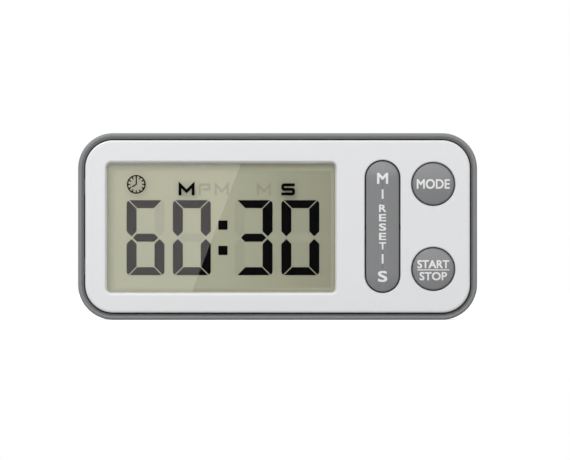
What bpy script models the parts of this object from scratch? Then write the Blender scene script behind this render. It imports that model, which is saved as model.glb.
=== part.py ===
"""Digital kitchen timer: a slim upright case with a liquid crystal display, a
rocking minute/second key, two round keys, a piezo buzzer, one AAA cell, two
holding magnets and a folding stand.

Frame: metres, +Z up, +X to the right seen from the front, the face looks along -Y.
The origin is at the middle of the flat lower edge. The stand is folded.
"""

import math

import bmesh
import bpy
from mathutils import Vector

MM = 0.001

# Clearances
FIT_GAP = 0.3 * MM        # beside a piece that sits in an opening
SEAT_GAP = 0.2 * MM       # under a piece that rests on another
LAYER_GAP = 0.1 * MM      # between the layers of the display

# Case
WIDTH = 100.0 * MM
HEIGHT = 46.8 * MM
CORNER_RADIUS = 8.8 * MM
CASE_WALL = 1.5 * MM
BACK_WALL = 1.4 * MM
BACK_EDGE_RADIUS = 2.0 * MM
RIM_EDGE_RADIUS = 0.6 * MM
RIM_CHAMFER = 0.4 * MM
FACE_PROUD = 0.5 * MM
FACE_THICKNESS = 2.1 * MM
FACE_EDGE_RADIUS = 0.5 * MM
SKIRT_WALL = 1.4 * MM
SKIRT_DEPTH = 4.9 * MM
TONGUE_LENGTH = 4.0 * MM
TONGUE_THICKNESS = 1.0 * MM
TONGUE_REACH = 0.7 * MM
TONGUE_SPREAD = 20.0 * MM

# Display
WINDOW_WIDTH = 57.6 * MM
WINDOW_HEIGHT = 32.9 * MM
WINDOW_RADIUS = 1.4 * MM
WINDOW_MARGIN = 5.2 * MM
LENS_THICKNESS = 1.0 * MM
LENS_RECESS = 0.3 * MM
LENS_LEDGE = 1.2 * MM
GLASS_MARGIN = 0.7 * MM
GLASS_THICKNESS = 0.9 * MM
FILM_THICKNESS = 0.2 * MM
CONTACT_LEDGE = 2.1 * MM
ZEBRA_WIDTH = 1.7 * MM

# Keys
KEY_PROUD = 0.7 * MM
KEY_EDGE_RADIUS = 0.5 * MM
ROUND_KEY_DIAMETER = 10.4 * MM
ROUND_KEY_MARGIN = 9.2 * MM
ROUND_KEY_SPREAD = 21.3 * MM
FLANGE_REACH = 0.6 * MM
FLANGE_THICKNESS = 0.7 * MM
STEM_RADIUS = 1.5 * MM
PILL_WIDTH = 8.3 * MM
PILL_HEIGHT = 32.7 * MM
PILL_OFFSET = 12.7 * MM
PILL_CAP_DEPTH = 2.0 * MM
PILL_POST_SPREAD = 24.0 * MM
PIN_RADIUS = 0.75 * MM
PIN_DEPTH = 3.4 * MM
PIN_OVERHANG = 2.0 * MM
PIVOT_RIB_HEIGHT = 4.4 * MM
PIVOT_RIB_FLOOR = 0.55 * MM
EAR_GAP = 0.55 * MM
EAR_THICKNESS = 1.2 * MM
EAR_HEIGHT = 4.8 * MM

# Keypad and circuit board
BOARD_DEPTH = 7.0 * MM
BOARD_THICKNESS = 1.0 * MM
BOARD_MARGIN = 0.5 * MM
BOARD_RADIUS = 5.3 * MM
SHEET_THICKNESS = 0.7 * MM
SHEET_MARGIN = 4.4 * MM
SHEET_RADIUS = 2.5 * MM
DOME_HEIGHT = 1.5 * MM
DOME_TOP_RADIUS = 2.6 * MM
DOME_FOOT_RADIUS = 3.5 * MM
DOME_WALL = 0.6 * MM
PILL_CONTACT_RADIUS = 1.3 * MM
PILL_CONTACT_THICKNESS = 0.5 * MM

# Battery compartment
BATTERY_DIAMETER = 10.5 * MM
BATTERY_LENGTH = 44.5 * MM
BATTERY_NUB_RADIUS = 1.9 * MM
BATTERY_NUB_LENGTH = 0.9 * MM
BATTERY_SHOULDER = 0.8 * MM
BATTERY_END_CHAMFER = 0.5 * MM
BATTERY_SIDE_GAP = 0.35 * MM
BATTERY_SPRING_SPACE = 5.4 * MM
BAY_WALL = 1.0 * MM
BAY_FLOOR = 0.8 * MM
BAY_FLOOR_GAP = 0.4 * MM
BAY_LEFT_MARGIN = 5.5 * MM
BAY_TOP_MARGIN = 6.8 * MM
DOOR_THICKNESS = 1.4 * MM
DOOR_LEDGE = 0.9 * MM
DOOR_CORNER_RADIUS = 0.4 * MM
CONTACT_THICKNESS = 0.4 * MM
CONTACT_TAB = 2.2 * MM
SPRING_WIRE_RADIUS = 0.3 * MM
SPRING_SMALL_RADIUS = 2.9 * MM
SPRING_LARGE_RADIUS = 3.9 * MM
SPRING_TURNS = 4

# Stand
STAND_WIDTH = 40.0 * MM
STAND_CENTRE_X = -7.0 * MM
STAND_THICKNESS = 1.8 * MM
STAND_BARREL_RADIUS = 1.3 * MM
STAND_AXIS_DEPTH = 1.5 * MM
STAND_FOOT_MARGIN = 3.9 * MM
STAND_TOP_WALL = 1.3 * MM
STAND_PIN_RADIUS = 0.8 * MM
STAND_PIN_REACH = 1.0 * MM
STAND_NOTCH_RADIUS = 4.5 * MM
PAN_WALL = 1.4 * MM

# Screws, magnets and buzzer
SCREW_RADIUS = 0.9 * MM
SCREW_HEAD_RADIUS = 1.9 * MM
SCREW_HEAD_HEIGHT = 1.5 * MM
SCREW_HEAD_CHAMFER = 0.5 * MM
SCREW_SHOULDER_DEPTH = 12.0 * MM
SCREW_TIP_DEPTH = 3.6 * MM
SCREW_EDGE_MARGIN = 6.0 * MM
SCREW_INNER_OFFSET = 7.8 * MM
SCREW_OUTER_OFFSET = 5.9 * MM
POST_WALL = 0.8 * MM
BOSS_RADIUS = 2.2 * MM
MAGNET_RADIUS = 4.5 * MM
MAGNET_THICKNESS = 1.8 * MM
MAGNET_DROP = 11.0 * MM
MAGNET_LEFT_MARGIN = 13.0 * MM
BUZZER_RADIUS = 10.0 * MM
BUZZER_THICKNESS = 0.3 * MM
BUZZER_RISE = 6.0 * MM
BUZZER_SEAT = 1.0 * MM
BUZZER_CAVITY = 1.0 * MM
CERAMIC_RADIUS = 7.0 * MM
CERAMIC_THICKNESS = 0.25 * MM
SOUND_HOLE_RADIUS = 0.8 * MM
SOUND_HOLE_PITCH = 3.2 * MM
LEAD_RADIUS = 0.4 * MM
LEAD_SIDESTEP = 2.0 * MM
LEAD_DROP = 3.0 * MM
LEAD_BOW = 0.6            # share of a lead's run over which it leaves its ends straight

# Parts on the board: the covered chip from the middle of the case, the others from the chip
CHIP_X = -13.0 * MM
CHIP_DROP = 9.0 * MM
CHIP_RADIUS = 4.5 * MM
CHIP_HEIGHT = 1.8 * MM
CRYSTAL_RADIUS = 1.0 * MM
CRYSTAL_LENGTH = 6.0 * MM
CRYSTAL_OFFSET = (-13.0 * MM, 5.0 * MM)
CAPACITOR_RADIUS = 2.0 * MM
CAPACITOR_LENGTH = 5.4 * MM
CAPACITOR_OFFSET = (11.7 * MM, -4.0 * MM)
RESISTOR_SIZE = (1.2 * MM, 0.5 * MM, 2.0 * MM)
RESISTOR_OFFSETS = ((9.6 * MM, 4.0 * MM), (13.6 * MM, 4.0 * MM))

CORNER_STEPS = 6
ROUND_STEPS = 32
SMALL_STEPS = 16
SHARP_ANGLE = math.radians(35)
OVERSHOOT = 1.0 * MM      # how far a cutter runs past the face it cuts

# Places worked out from the sizes above, counted inwards from the face
LENS_BACK = LENS_RECESS + LENS_THICKNESS
LEDGE_FRONT = LENS_BACK + SEAT_GAP
POLARIZER_FRONT = FACE_THICKNESS + SEAT_GAP
FRONT_GLASS_FRONT = POLARIZER_FRONT + FILM_THICKNESS + LAYER_GAP
REAR_GLASS_FRONT = FRONT_GLASS_FRONT + GLASS_THICKNESS + LAYER_GAP
REFLECTOR_FRONT = REAR_GLASS_FRONT + GLASS_THICKNESS + LAYER_GAP
DISPLAY_BACK = REFLECTOR_FRONT + FILM_THICKNESS
BAY_FRONT = DISPLAY_BACK + BAY_FLOOR_GAP
BATTERY_FRONT = BAY_FRONT + BAY_FLOOR + FIT_GAP
BATTERY_AXIS_DEPTH = BATTERY_FRONT + BATTERY_DIAMETER / 2
DOOR_INNER = BATTERY_FRONT + BATTERY_DIAMETER + FIT_GAP
BACK = DOOR_INNER + DOOR_THICKNESS
BOARD_BACK = BOARD_DEPTH + BOARD_THICKNESS
SHEET_BACK = BOARD_DEPTH - SEAT_GAP
SHEET_FRONT = SHEET_BACK - SHEET_THICKNESS
DOME_TOP = SHEET_FRONT - DOME_HEIGHT
FACE_Y = KEY_PROUD - (BACK + KEY_PROUD) / 2
MIDDLE_Z = HEIGHT / 2

# Places across the face
FACE_WIDTH = WIDTH - 2 * (CASE_WALL + FIT_GAP)
FACE_HEIGHT = HEIGHT - 2 * (CASE_WALL + FIT_GAP)
FACE_RADIUS = CORNER_RADIUS - CASE_WALL - FIT_GAP
WINDOW_X = -FACE_WIDTH / 2 + WINDOW_MARGIN + WINDOW_WIDTH / 2
ROUND_KEY_X = FACE_WIDTH / 2 - ROUND_KEY_MARGIN
PILL_X = ROUND_KEY_X - PILL_OFFSET
GLASS_WIDTH = WINDOW_WIDTH + 2 * GLASS_MARGIN
GLASS_HEIGHT = WINDOW_HEIGHT + 2 * GLASS_MARGIN
KEY_PLACES = {
    "mode": (ROUND_KEY_X, MIDDLE_Z + ROUND_KEY_SPREAD / 2),
    "start_stop": (ROUND_KEY_X, MIDDLE_Z - ROUND_KEY_SPREAD / 2),
    "minute": (PILL_X, MIDDLE_Z + PILL_POST_SPREAD / 2),
    "second": (PILL_X, MIDDLE_Z - PILL_POST_SPREAD / 2),
}

# Places on the back
BAY_LEFT = -WIDTH / 2 + BAY_LEFT_MARGIN
BAY_LENGTH = 2 * (CONTACT_THICKNESS + FIT_GAP) + FIT_GAP + BATTERY_LENGTH + BATTERY_SPRING_SPACE
BAY_RIGHT = BAY_LEFT + BAY_LENGTH
BAY_HALF = BATTERY_DIAMETER / 2 + BATTERY_SIDE_GAP
BAY_Z = HEIGHT - BAY_TOP_MARGIN - BAY_HALF
BATTERY_LEFT = BAY_LEFT + CONTACT_THICKNESS + 2 * FIT_GAP
RECESS_TOP = BAY_Z - BAY_HALF - DOOR_LEDGE - STAND_TOP_WALL
STAND_AXIS_Z = RECESS_TOP - STAND_BARREL_RADIUS - FIT_GAP
STAND_FOOT_Z = STAND_FOOT_MARGIN
STAND_AXIS_Y = BACK - STAND_AXIS_DEPTH
PAN_DEPTH = STAND_AXIS_DEPTH + STAND_BARREL_RADIUS + FIT_GAP
SCREW_PLACES = [
    (x, z)
    for x in (PILL_X - SCREW_INNER_OFFSET, ROUND_KEY_X + SCREW_OUTER_OFFSET)
    for z in (SCREW_EDGE_MARGIN, HEIGHT - SCREW_EDGE_MARGIN)
]
BUZZER_X = (SCREW_PLACES[0][0] + SCREW_PLACES[2][0]) / 2
BUZZER_Z = MIDDLE_Z + BUZZER_RISE
MAGNET_PLACES = {
    "left": (-WIDTH / 2 + MAGNET_LEFT_MARGIN, MIDDLE_Z - MAGNET_DROP),
    "right": (BUZZER_X, MIDDLE_Z - MAGNET_DROP),
}

# Colours (linear red, green, blue), roughness and metallic
FINISHES = {
    "white_shell": ((0.74, 0.75, 0.77), 0.45, 0.0),
    "grey_shell": ((0.20, 0.20, 0.21), 0.50, 0.0),
    "grey_key": ((0.25, 0.25, 0.26), 0.50, 0.0),
    "clear_lens": ((0.80, 0.85, 0.80), 0.05, 0.0),
    "display_film": ((0.42, 0.42, 0.32), 0.30, 0.0),
    "display_glass": ((0.45, 0.50, 0.42), 0.10, 0.0),
    "reflector": ((0.50, 0.50, 0.42), 0.40, 0.3),
    "grey_rubber": ((0.35, 0.35, 0.36), 0.70, 0.0),
    "carbon": ((0.01, 0.01, 0.01), 0.60, 0.0),
    "board": ((0.03, 0.18, 0.06), 0.40, 0.0),
    "epoxy": ((0.01, 0.01, 0.01), 0.25, 0.0),
    "can_steel": ((0.60, 0.60, 0.62), 0.25, 1.0),
    "chip_black": ((0.02, 0.02, 0.02), 0.50, 0.0),
    "brass": ((0.72, 0.52, 0.20), 0.30, 1.0),
    "white_ceramic": ((0.80, 0.78, 0.72), 0.60, 0.0),
    "spring_steel": ((0.65, 0.65, 0.66), 0.25, 1.0),
    "cell_label": ((0.05, 0.12, 0.30), 0.35, 0.2),
    "magnet_nickel": ((0.62, 0.62, 0.62), 0.20, 1.0),
    "screw_steel": ((0.30, 0.30, 0.31), 0.30, 1.0),
    "red_lead": ((0.50, 0.02, 0.02), 0.50, 0.0),
    "black_lead": ((0.02, 0.02, 0.02), 0.50, 0.0),
}


# ---------------------------------------------------------------- outlines

def rounded_outline(width, height, radius, centre, steps=CORNER_STEPS):
    """Points of a rounded rectangle round centre."""
    points = []
    for quarter, (side_x, side_z) in enumerate(((1, 1), (-1, 1), (-1, -1), (1, -1))):
        corner_x = centre[0] + side_x * (width / 2 - radius)
        corner_z = centre[1] + side_z * (height / 2 - radius)
        for step in range(steps + 1):
            angle = (quarter + step / steps) * math.pi / 2
            points.append((corner_x + radius * math.cos(angle), corner_z + radius * math.sin(angle)))
    return points


def pill_outline(width, height, centre, steps=ROUND_STEPS):
    """Points of an upright slot with fully round ends."""
    radius = width / 2
    half = steps // 2
    points = []
    for end, side in enumerate((1, -1)):
        for step in range(half + 1):
            angle = (end + step / half) * math.pi
            points.append((
                centre[0] + radius * math.cos(angle),
                centre[1] + side * (height / 2 - radius) + radius * math.sin(angle),
            ))
    return points


def circle_outline(radius, centre, steps=ROUND_STEPS):
    """Points of a circle round centre."""
    angles = [2 * math.pi * step / steps for step in range(steps)]
    return [(centre[0] + radius * math.cos(a), centre[1] + radius * math.sin(a)) for a in angles]


def edge_steps(radius, count):
    """Inset and rise of each point on a quarter round, from its side to its top."""
    angles = [math.pi / 2 * step / count for step in range(count + 1)]
    return [(radius * (1 - math.cos(a)), radius * math.sin(a)) for a in angles]


# ---------------------------------------------------------------- solids

def loft(name, rings, along="Y"):
    """A closed solid through rings of equal point count; each ring is (place, outline).

    Along Y the place is a depth behind the face; along X it is x, and the outline
    holds depths and heights.
    """
    mesh = bmesh.new()
    layers = []
    for place, outline in rings:
        if along == "Y":
            points = [(x, FACE_Y + place, z) for x, z in outline]
        else:
            points = [(place, FACE_Y + depth, z) for depth, z in outline]
        layers.append([mesh.verts.new(point) for point in points])
    count = len(layers[0])
    for lower, upper in zip(layers, layers[1:]):
        for i in range(count):
            j = (i + 1) % count
            mesh.faces.new((lower[i], lower[j], upper[j], upper[i]))
    mesh.faces.new(layers[0])
    mesh.faces.new(reversed(layers[-1]))
    bmesh.ops.recalc_face_normals(mesh, faces=mesh.faces)
    data = bpy.data.meshes.new(name)
    mesh.to_mesh(data)
    mesh.free()
    piece = bpy.data.objects.new(name, data)
    bpy.context.collection.objects.link(piece)
    return piece


def prism(name, outline, front, back):
    """An outline pushed straight back from one depth to another."""
    return loft(name, [(front, outline), (back, outline)])


def cylinder(name, centre, radius, front, back, steps=ROUND_STEPS):
    """A round bar along Y."""
    return prism(name, circle_outline(radius, centre, steps), front, back)


def cross_bar(name, depth, height, radius, left, right, steps=SMALL_STEPS):
    """A round bar along X."""
    outline = circle_outline(radius, (depth, height), steps)
    return loft(name, [(left, outline), (right, outline)], along="X")


def block(name, left, right, front, back, low, high):
    """A plain box given by its six faces."""
    return prism(name, [(left, low), (right, low), (right, high), (left, high)], front, back)


def combine(target, tool, operation):
    """Cut, join or intersect target with tool, and use the tool up."""
    modifier = target.modifiers.new("combine", "BOOLEAN")
    modifier.object = tool
    modifier.operation = operation
    modifier.solver = "EXACT"
    depsgraph = bpy.context.evaluated_depsgraph_get()
    result = bpy.data.meshes.new_from_object(target.evaluated_get(depsgraph))
    target.modifiers.clear()
    target.data = result
    bpy.data.objects.remove(tool)


def cut(target, *tools):
    for tool in tools:
        combine(target, tool, "DIFFERENCE")


def join(target, *tools):
    for tool in tools:
        combine(target, tool, "UNION")


def finish(piece, finish_name, origin):
    """Give a piece its material, smooth shading, its own origin and its parent."""
    data = piece.data
    data.name = piece.name
    offset = Vector(origin)
    for vertex in data.vertices:
        vertex.co -= offset
    piece.location = offset
    data.materials.clear()
    data.materials.append(material(piece.name, finish_name))
    data.shade_smooth()
    data.set_sharp_from_angle(angle=SHARP_ANGLE)
    piece.parent = bpy.data.objects["timer"]
    return piece


def material(name, finish_name):
    """A plain Principled material of one piece."""
    colour, roughness, metallic = FINISHES[finish_name]
    finish_material = bpy.data.materials.new(name)
    finish_material.use_nodes = True
    shader = finish_material.node_tree.nodes["Principled BSDF"]
    shader.inputs["Base Color"].default_value = (*colour, 1.0)
    shader.inputs["Roughness"].default_value = roughness
    shader.inputs["Metallic"].default_value = metallic
    return finish_material


# ---------------------------------------------------------------- case

def face_outline(inset=0.0):
    return rounded_outline(
        FACE_WIDTH - 2 * inset, FACE_HEIGHT - 2 * inset, FACE_RADIUS - inset, (0, MIDDLE_Z))


def case_outline(inset=0.0):
    return rounded_outline(WIDTH - 2 * inset, HEIGHT - 2 * inset, CORNER_RADIUS - inset, (0, MIDDLE_Z))


def window_outline(inset):
    return rounded_outline(
        WINDOW_WIDTH - 2 * inset, WINDOW_HEIGHT - 2 * inset, WINDOW_RADIUS, (WINDOW_X, MIDDLE_Z), steps=4)


def tongue_blocks(name, reach, gap):
    """The two catches on the left edge, grown by gap for their pockets."""
    left = -FACE_WIDTH / 2 - reach
    back = SKIRT_DEPTH - TONGUE_THICKNESS / 2
    for side in (1, -1):
        middle = MIDDLE_Z + side * TONGUE_SPREAD / 2
        yield block(
            name, left, -FACE_WIDTH / 2 + SKIRT_WALL / 2,
            back - TONGUE_THICKNESS - gap, back + gap,
            middle - TONGUE_LENGTH / 2 - gap, middle + TONGUE_LENGTH / 2 + gap)


def make_front_shell():
    """The white face with its skirt, window ledge, key holes, bosses and pin ears."""
    rounding = [(FACE_EDGE_RADIUS - rise, face_outline(inset))
                for inset, rise in edge_steps(FACE_EDGE_RADIUS, 3)]
    shell = loft("front_shell", [(SKIRT_DEPTH, face_outline())] + rounding)
    cut(shell, prism("hollow", face_outline(SKIRT_WALL), FACE_THICKNESS, SKIRT_DEPTH + OVERSHOOT))
    for x, z in SCREW_PLACES:
        join(shell, cylinder("boss", (x, z), BOSS_RADIUS, LEDGE_FRONT, BOARD_DEPTH - FIT_GAP, SMALL_STEPS))
        cut(shell, cylinder(
            "pilot", (x, z), SCREW_RADIUS + FIT_GAP, SCREW_TIP_DEPTH - FIT_GAP, BOARD_BACK, SMALL_STEPS))
    ear_inner = PILL_WIDTH / 2 + EAR_GAP
    ear_back = PIN_DEPTH + 2 * PIN_RADIUS + FIT_GAP
    slot_half = PIN_RADIUS + FIT_GAP
    for side in (1, -1):
        edges = sorted((PILL_X + side * ear_inner, PILL_X + side * (ear_inner + EAR_THICKNESS)))
        join(shell, block(
            "ear", *edges, LEDGE_FRONT, ear_back, MIDDLE_Z - EAR_HEIGHT / 2, MIDDLE_Z + EAR_HEIGHT / 2))
    reach = ear_inner + EAR_THICKNESS + FIT_GAP
    cut(
        shell,
        prism("rebate", window_outline(0), -OVERSHOOT, LEDGE_FRONT),
        prism("opening", window_outline(LENS_LEDGE), LEDGE_FRONT - OVERSHOOT, FACE_THICKNESS + OVERSHOOT),
        prism("pill_hole", pill_outline(
            PILL_WIDTH + 2 * FIT_GAP, PILL_HEIGHT + 2 * FIT_GAP, (PILL_X, MIDDLE_Z)),
            -OVERSHOOT, FACE_THICKNESS + OVERSHOOT / 2),
        block("slots", PILL_X - reach, PILL_X + reach, PIN_DEPTH - slot_half, ear_back + OVERSHOOT,
              MIDDLE_Z - slot_half, MIDDLE_Z + slot_half),
    )
    for name in ("mode", "start_stop"):
        radius = ROUND_KEY_DIAMETER / 2 + FIT_GAP
        cut(shell, cylinder("key_hole", KEY_PLACES[name], radius, -OVERSHOOT, FACE_THICKNESS + OVERSHOOT))
    join(shell, *tongue_blocks("tongue", TONGUE_REACH, 0.0))
    finish(shell, "white_shell", (0, FACE_Y, MIDDLE_Z))


def make_rear_case():
    """The grey tray: rim, back wall, battery bay, stand recess, posts and pockets."""
    rim = [(FACE_PROUD + RIM_EDGE_RADIUS - rise, case_outline(inset))
           for inset, rise in edge_steps(RIM_EDGE_RADIUS, 2)]
    back_edge = [(BACK - BACK_EDGE_RADIUS + rise, case_outline(inset))
                 for inset, rise in edge_steps(BACK_EDGE_RADIUS, 4)]
    case = loft("rear_case", rim[::-1] + back_edge)
    inner_back = BACK - BACK_WALL
    mouth = case_outline(CASE_WALL - RIM_CHAMFER)
    inner = case_outline(CASE_WALL)
    cut(case, loft("hollow", [
        (-OVERSHOOT, mouth), (FACE_PROUD, mouth), (FACE_PROUD + RIM_CHAMFER, inner), (inner_back, inner)]))
    add_posts(case)
    add_battery_bay(case)
    add_stand_recess(case)
    add_magnet_pockets(case, inner_back)
    add_buzzer_seat(case, inner_back)
    cut(case, *tongue_blocks("pocket", TONGUE_REACH + FIT_GAP, FIT_GAP))
    finish(case, "grey_shell", (0, FACE_Y + BACK, MIDDLE_Z))


def add_posts(case):
    """Four screw posts with a deep counterbore each."""
    head_hole = SCREW_HEAD_RADIUS + FIT_GAP
    for place in SCREW_PLACES:
        join(case, cylinder(
            "post", place, head_hole + POST_WALL, BOARD_BACK + FIT_GAP, BACK - BACK_WALL / 2, SMALL_STEPS))
        cut(
            case,
            cylinder("head_hole", place, head_hole, SCREW_SHOULDER_DEPTH, BACK + OVERSHOOT, SMALL_STEPS),
            cylinder("shank_hole", place, SCREW_RADIUS + FIT_GAP,
                     BOARD_BACK - OVERSHOOT, SCREW_SHOULDER_DEPTH + OVERSHOOT, SMALL_STEPS),
        )


def contact_slot(x_low, x_high):
    """A slot in the bay's lower wall for a contact's tab."""
    low = BAY_Z - BAY_HALF - BAY_WALL - OVERSHOOT
    high = BAY_Z - BAY_HALF + OVERSHOOT / 2
    half = CONTACT_TAB / 2 + FIT_GAP
    return block("tab_slot", x_low - FIT_GAP, x_high + FIT_GAP,
                 BATTERY_AXIS_DEPTH - half, BATTERY_AXIS_DEPTH + half, low, high)


def add_battery_bay(case):
    """The tub that holds the cell, open at the back under the door."""
    low = BAY_Z - BAY_HALF
    high = BAY_Z + BAY_HALF
    join(case, block("tub", BAY_LEFT - BAY_WALL, BAY_RIGHT + BAY_WALL, BAY_FRONT, BACK - BACK_WALL / 2,
                     low - BAY_WALL, high + BAY_WALL))
    positive, negative = contact_places()
    cut(
        case,
        block("bay", BAY_LEFT, BAY_RIGHT, BAY_FRONT + BAY_FLOOR, BACK + OVERSHOOT, low, high),
        block("door_opening", BAY_LEFT - DOOR_LEDGE, BAY_RIGHT + DOOR_LEDGE, DOOR_INNER - FIT_GAP,
              BACK + OVERSHOOT, low - DOOR_LEDGE, high + DOOR_LEDGE),
        contact_slot(*positive),
        contact_slot(*negative),
    )


def add_stand_recess(case):
    """The pan in which the folded stand lies, deeper under its barrel."""
    left = STAND_CENTRE_X - STAND_WIDTH / 2 - FIT_GAP
    right = STAND_CENTRE_X + STAND_WIDTH / 2 + FIT_GAP
    low = STAND_FOOT_Z - FIT_GAP
    floor = BACK - STAND_THICKNESS - FIT_GAP
    barrel_floor = BACK - PAN_DEPTH
    barrel_low = STAND_AXIS_Z - STAND_BARREL_RADIUS - FIT_GAP
    join(case, block("pan", left - PAN_WALL, right + PAN_WALL, barrel_floor - PAN_WALL,
                     BACK - BACK_WALL / 2, low - PAN_WALL, RECESS_TOP + PAN_WALL / 2))
    bore_reach = STAND_PIN_REACH + FIT_GAP
    for start, end in ((left - bore_reach, left + bore_reach), (right - bore_reach, right + bore_reach)):
        cut(case, cross_bar("pin_bore", STAND_AXIS_Y, STAND_AXIS_Z, STAND_PIN_RADIUS + FIT_GAP, start, end))
    cut(
        case,
        block("recess", left, right, floor, BACK + OVERSHOOT, low, RECESS_TOP),
        block("barrel_recess", left, right, barrel_floor, BACK + OVERSHOOT, barrel_low, RECESS_TOP),
    )


def add_magnet_pockets(case, inner_back):
    pocket_front = BACK - MAGNET_THICKNESS - FIT_GAP
    for place in MAGNET_PLACES.values():
        radius = MAGNET_RADIUS + FIT_GAP
        join(case, cylinder("magnet_boss", place, radius + PAN_WALL, pocket_front - PAN_WALL,
                            inner_back + BACK_WALL / 2))
        cut(case, cylinder("magnet_pocket", place, radius, pocket_front, BACK + OVERSHOOT))


def add_buzzer_seat(case, inner_back):
    """A stepped ring for the disc, with sound holes through the back wall inside it."""
    centre = (BUZZER_X, BUZZER_Z)
    seat = inner_back - BUZZER_CAVITY
    collar_front = seat - BUZZER_THICKNESS - 2 * SEAT_GAP
    collar = BUZZER_RADIUS + FIT_GAP
    join(case, cylinder("collar", centre, collar + BUZZER_SEAT, collar_front, inner_back + BACK_WALL / 2))
    cut(
        case,
        cylinder("disc_space", centre, collar, collar_front - OVERSHOOT, seat),
        cylinder("cavity", centre, BUZZER_RADIUS - BUZZER_SEAT, seat - OVERSHOOT, inner_back),
    )
    holes = [centre]
    for step in range(6):
        angle = math.pi / 3 * step
        holes.append((centre[0] + SOUND_HOLE_PITCH * math.cos(angle),
                      centre[1] + SOUND_HOLE_PITCH * math.sin(angle)))
    for hole in holes:
        cut(case, cylinder("sound_hole", hole, SOUND_HOLE_RADIUS,
                           inner_back - OVERSHOOT / 2, BACK + OVERSHOOT, 12))


# ---------------------------------------------------------------- display

def make_display():
    """The lens and, behind the ledge, the layers of the liquid crystal cell."""
    lens = prism("display_lens", window_outline(FIT_GAP), LENS_RECESS, LENS_BACK)
    finish(lens, "clear_lens", (WINDOW_X, FACE_Y + LENS_BACK, MIDDLE_Z))
    left = WINDOW_X - GLASS_WIDTH / 2
    right = WINDOW_X + GLASS_WIDTH / 2
    low = MIDDLE_Z - GLASS_HEIGHT / 2
    high = MIDDLE_Z + GLASS_HEIGHT / 2
    layers = [
        ("lcd_front_polarizer", POLARIZER_FRONT, FILM_THICKNESS, low, "display_film"),
        ("lcd_front_glass", FRONT_GLASS_FRONT, GLASS_THICKNESS, low - CONTACT_LEDGE, "display_glass"),
        ("lcd_rear_glass", REAR_GLASS_FRONT, GLASS_THICKNESS, low, "display_glass"),
        ("lcd_reflector", REFLECTOR_FRONT, FILM_THICKNESS, low, "reflector"),
    ]
    for name, front, thickness, bottom, finish_name in layers:
        layer = block(name, left, right, front, front + thickness, bottom, high)
        finish(layer, finish_name, (WINDOW_X, FACE_Y + front, MIDDLE_Z))
    strip_top = low - (CONTACT_LEDGE - ZEBRA_WIDTH) / 2
    strip = block("zebra_strip", left + ZEBRA_WIDTH, right - ZEBRA_WIDTH, REAR_GLASS_FRONT,
                  BOARD_DEPTH - LAYER_GAP, strip_top - ZEBRA_WIDTH, strip_top)
    finish(strip, "grey_rubber", (WINDOW_X, FACE_Y + BOARD_DEPTH, strip_top))


# ---------------------------------------------------------------- keys

def make_round_key(name, key):
    """A round key with its retaining flange and stem, one turned shape."""
    place = KEY_PLACES[key]
    radius = ROUND_KEY_DIAMETER / 2
    flange_front = FACE_THICKNESS + FIT_GAP
    flange_back = flange_front + FLANGE_THICKNESS
    flange = radius + FIT_GAP + FLANGE_REACH
    profile = [
        (DOME_TOP - SEAT_GAP, STEM_RADIUS), (flange_back, STEM_RADIUS), (flange_back, flange),
        (flange_front, flange), (flange_front, radius),
    ]
    profile += [(KEY_EDGE_RADIUS - KEY_PROUD - rise, radius - inset)
                for inset, rise in edge_steps(KEY_EDGE_RADIUS, 3)]
    cap = loft(name, [(depth, circle_outline(size, place)) for depth, size in profile])
    finish(cap, "grey_key", (place[0], FACE_Y, place[1]))


def make_pill_key():
    """The rocking minute/second key, with its pivot rib and its two posts."""
    centre = (PILL_X, MIDDLE_Z)
    rings = [(PILL_CAP_DEPTH, pill_outline(PILL_WIDTH, PILL_HEIGHT, centre))]
    rings += [(KEY_EDGE_RADIUS - KEY_PROUD - rise,
               pill_outline(PILL_WIDTH - 2 * inset, PILL_HEIGHT - 2 * inset, centre))
              for inset, rise in edge_steps(KEY_EDGE_RADIUS, 3)]
    key = loft("minute_second_key", rings)
    embedded = PILL_CAP_DEPTH - SEAT_GAP
    rib_half = PILL_WIDTH / 2 - FIT_GAP
    bore = PIN_RADIUS + FIT_GAP
    join(key, block("rib", PILL_X - rib_half, PILL_X + rib_half, embedded, PIN_DEPTH + bore + PIVOT_RIB_FLOOR,
                    MIDDLE_Z - PIVOT_RIB_HEIGHT / 2, MIDDLE_Z + PIVOT_RIB_HEIGHT / 2))
    for end in ("minute", "second"):
        join(key, cylinder("post", KEY_PLACES[end], STEM_RADIUS, embedded, DOME_TOP - SEAT_GAP, SMALL_STEPS))
    cut(key, cross_bar("bore", PIN_DEPTH, MIDDLE_Z, bore, PILL_X - PILL_WIDTH, PILL_X + PILL_WIDTH))
    finish(key, "grey_key", (PILL_X, FACE_Y + PIN_DEPTH, MIDDLE_Z))


def make_rocker_pin():
    half = PILL_WIDTH / 2 + PIN_OVERHANG
    pin = cross_bar("rocker_pin", PIN_DEPTH, MIDDLE_Z, PIN_RADIUS, PILL_X - half, PILL_X + half)
    finish(pin, "spring_steel", (PILL_X, FACE_Y + PIN_DEPTH, MIDDLE_Z))


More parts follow.
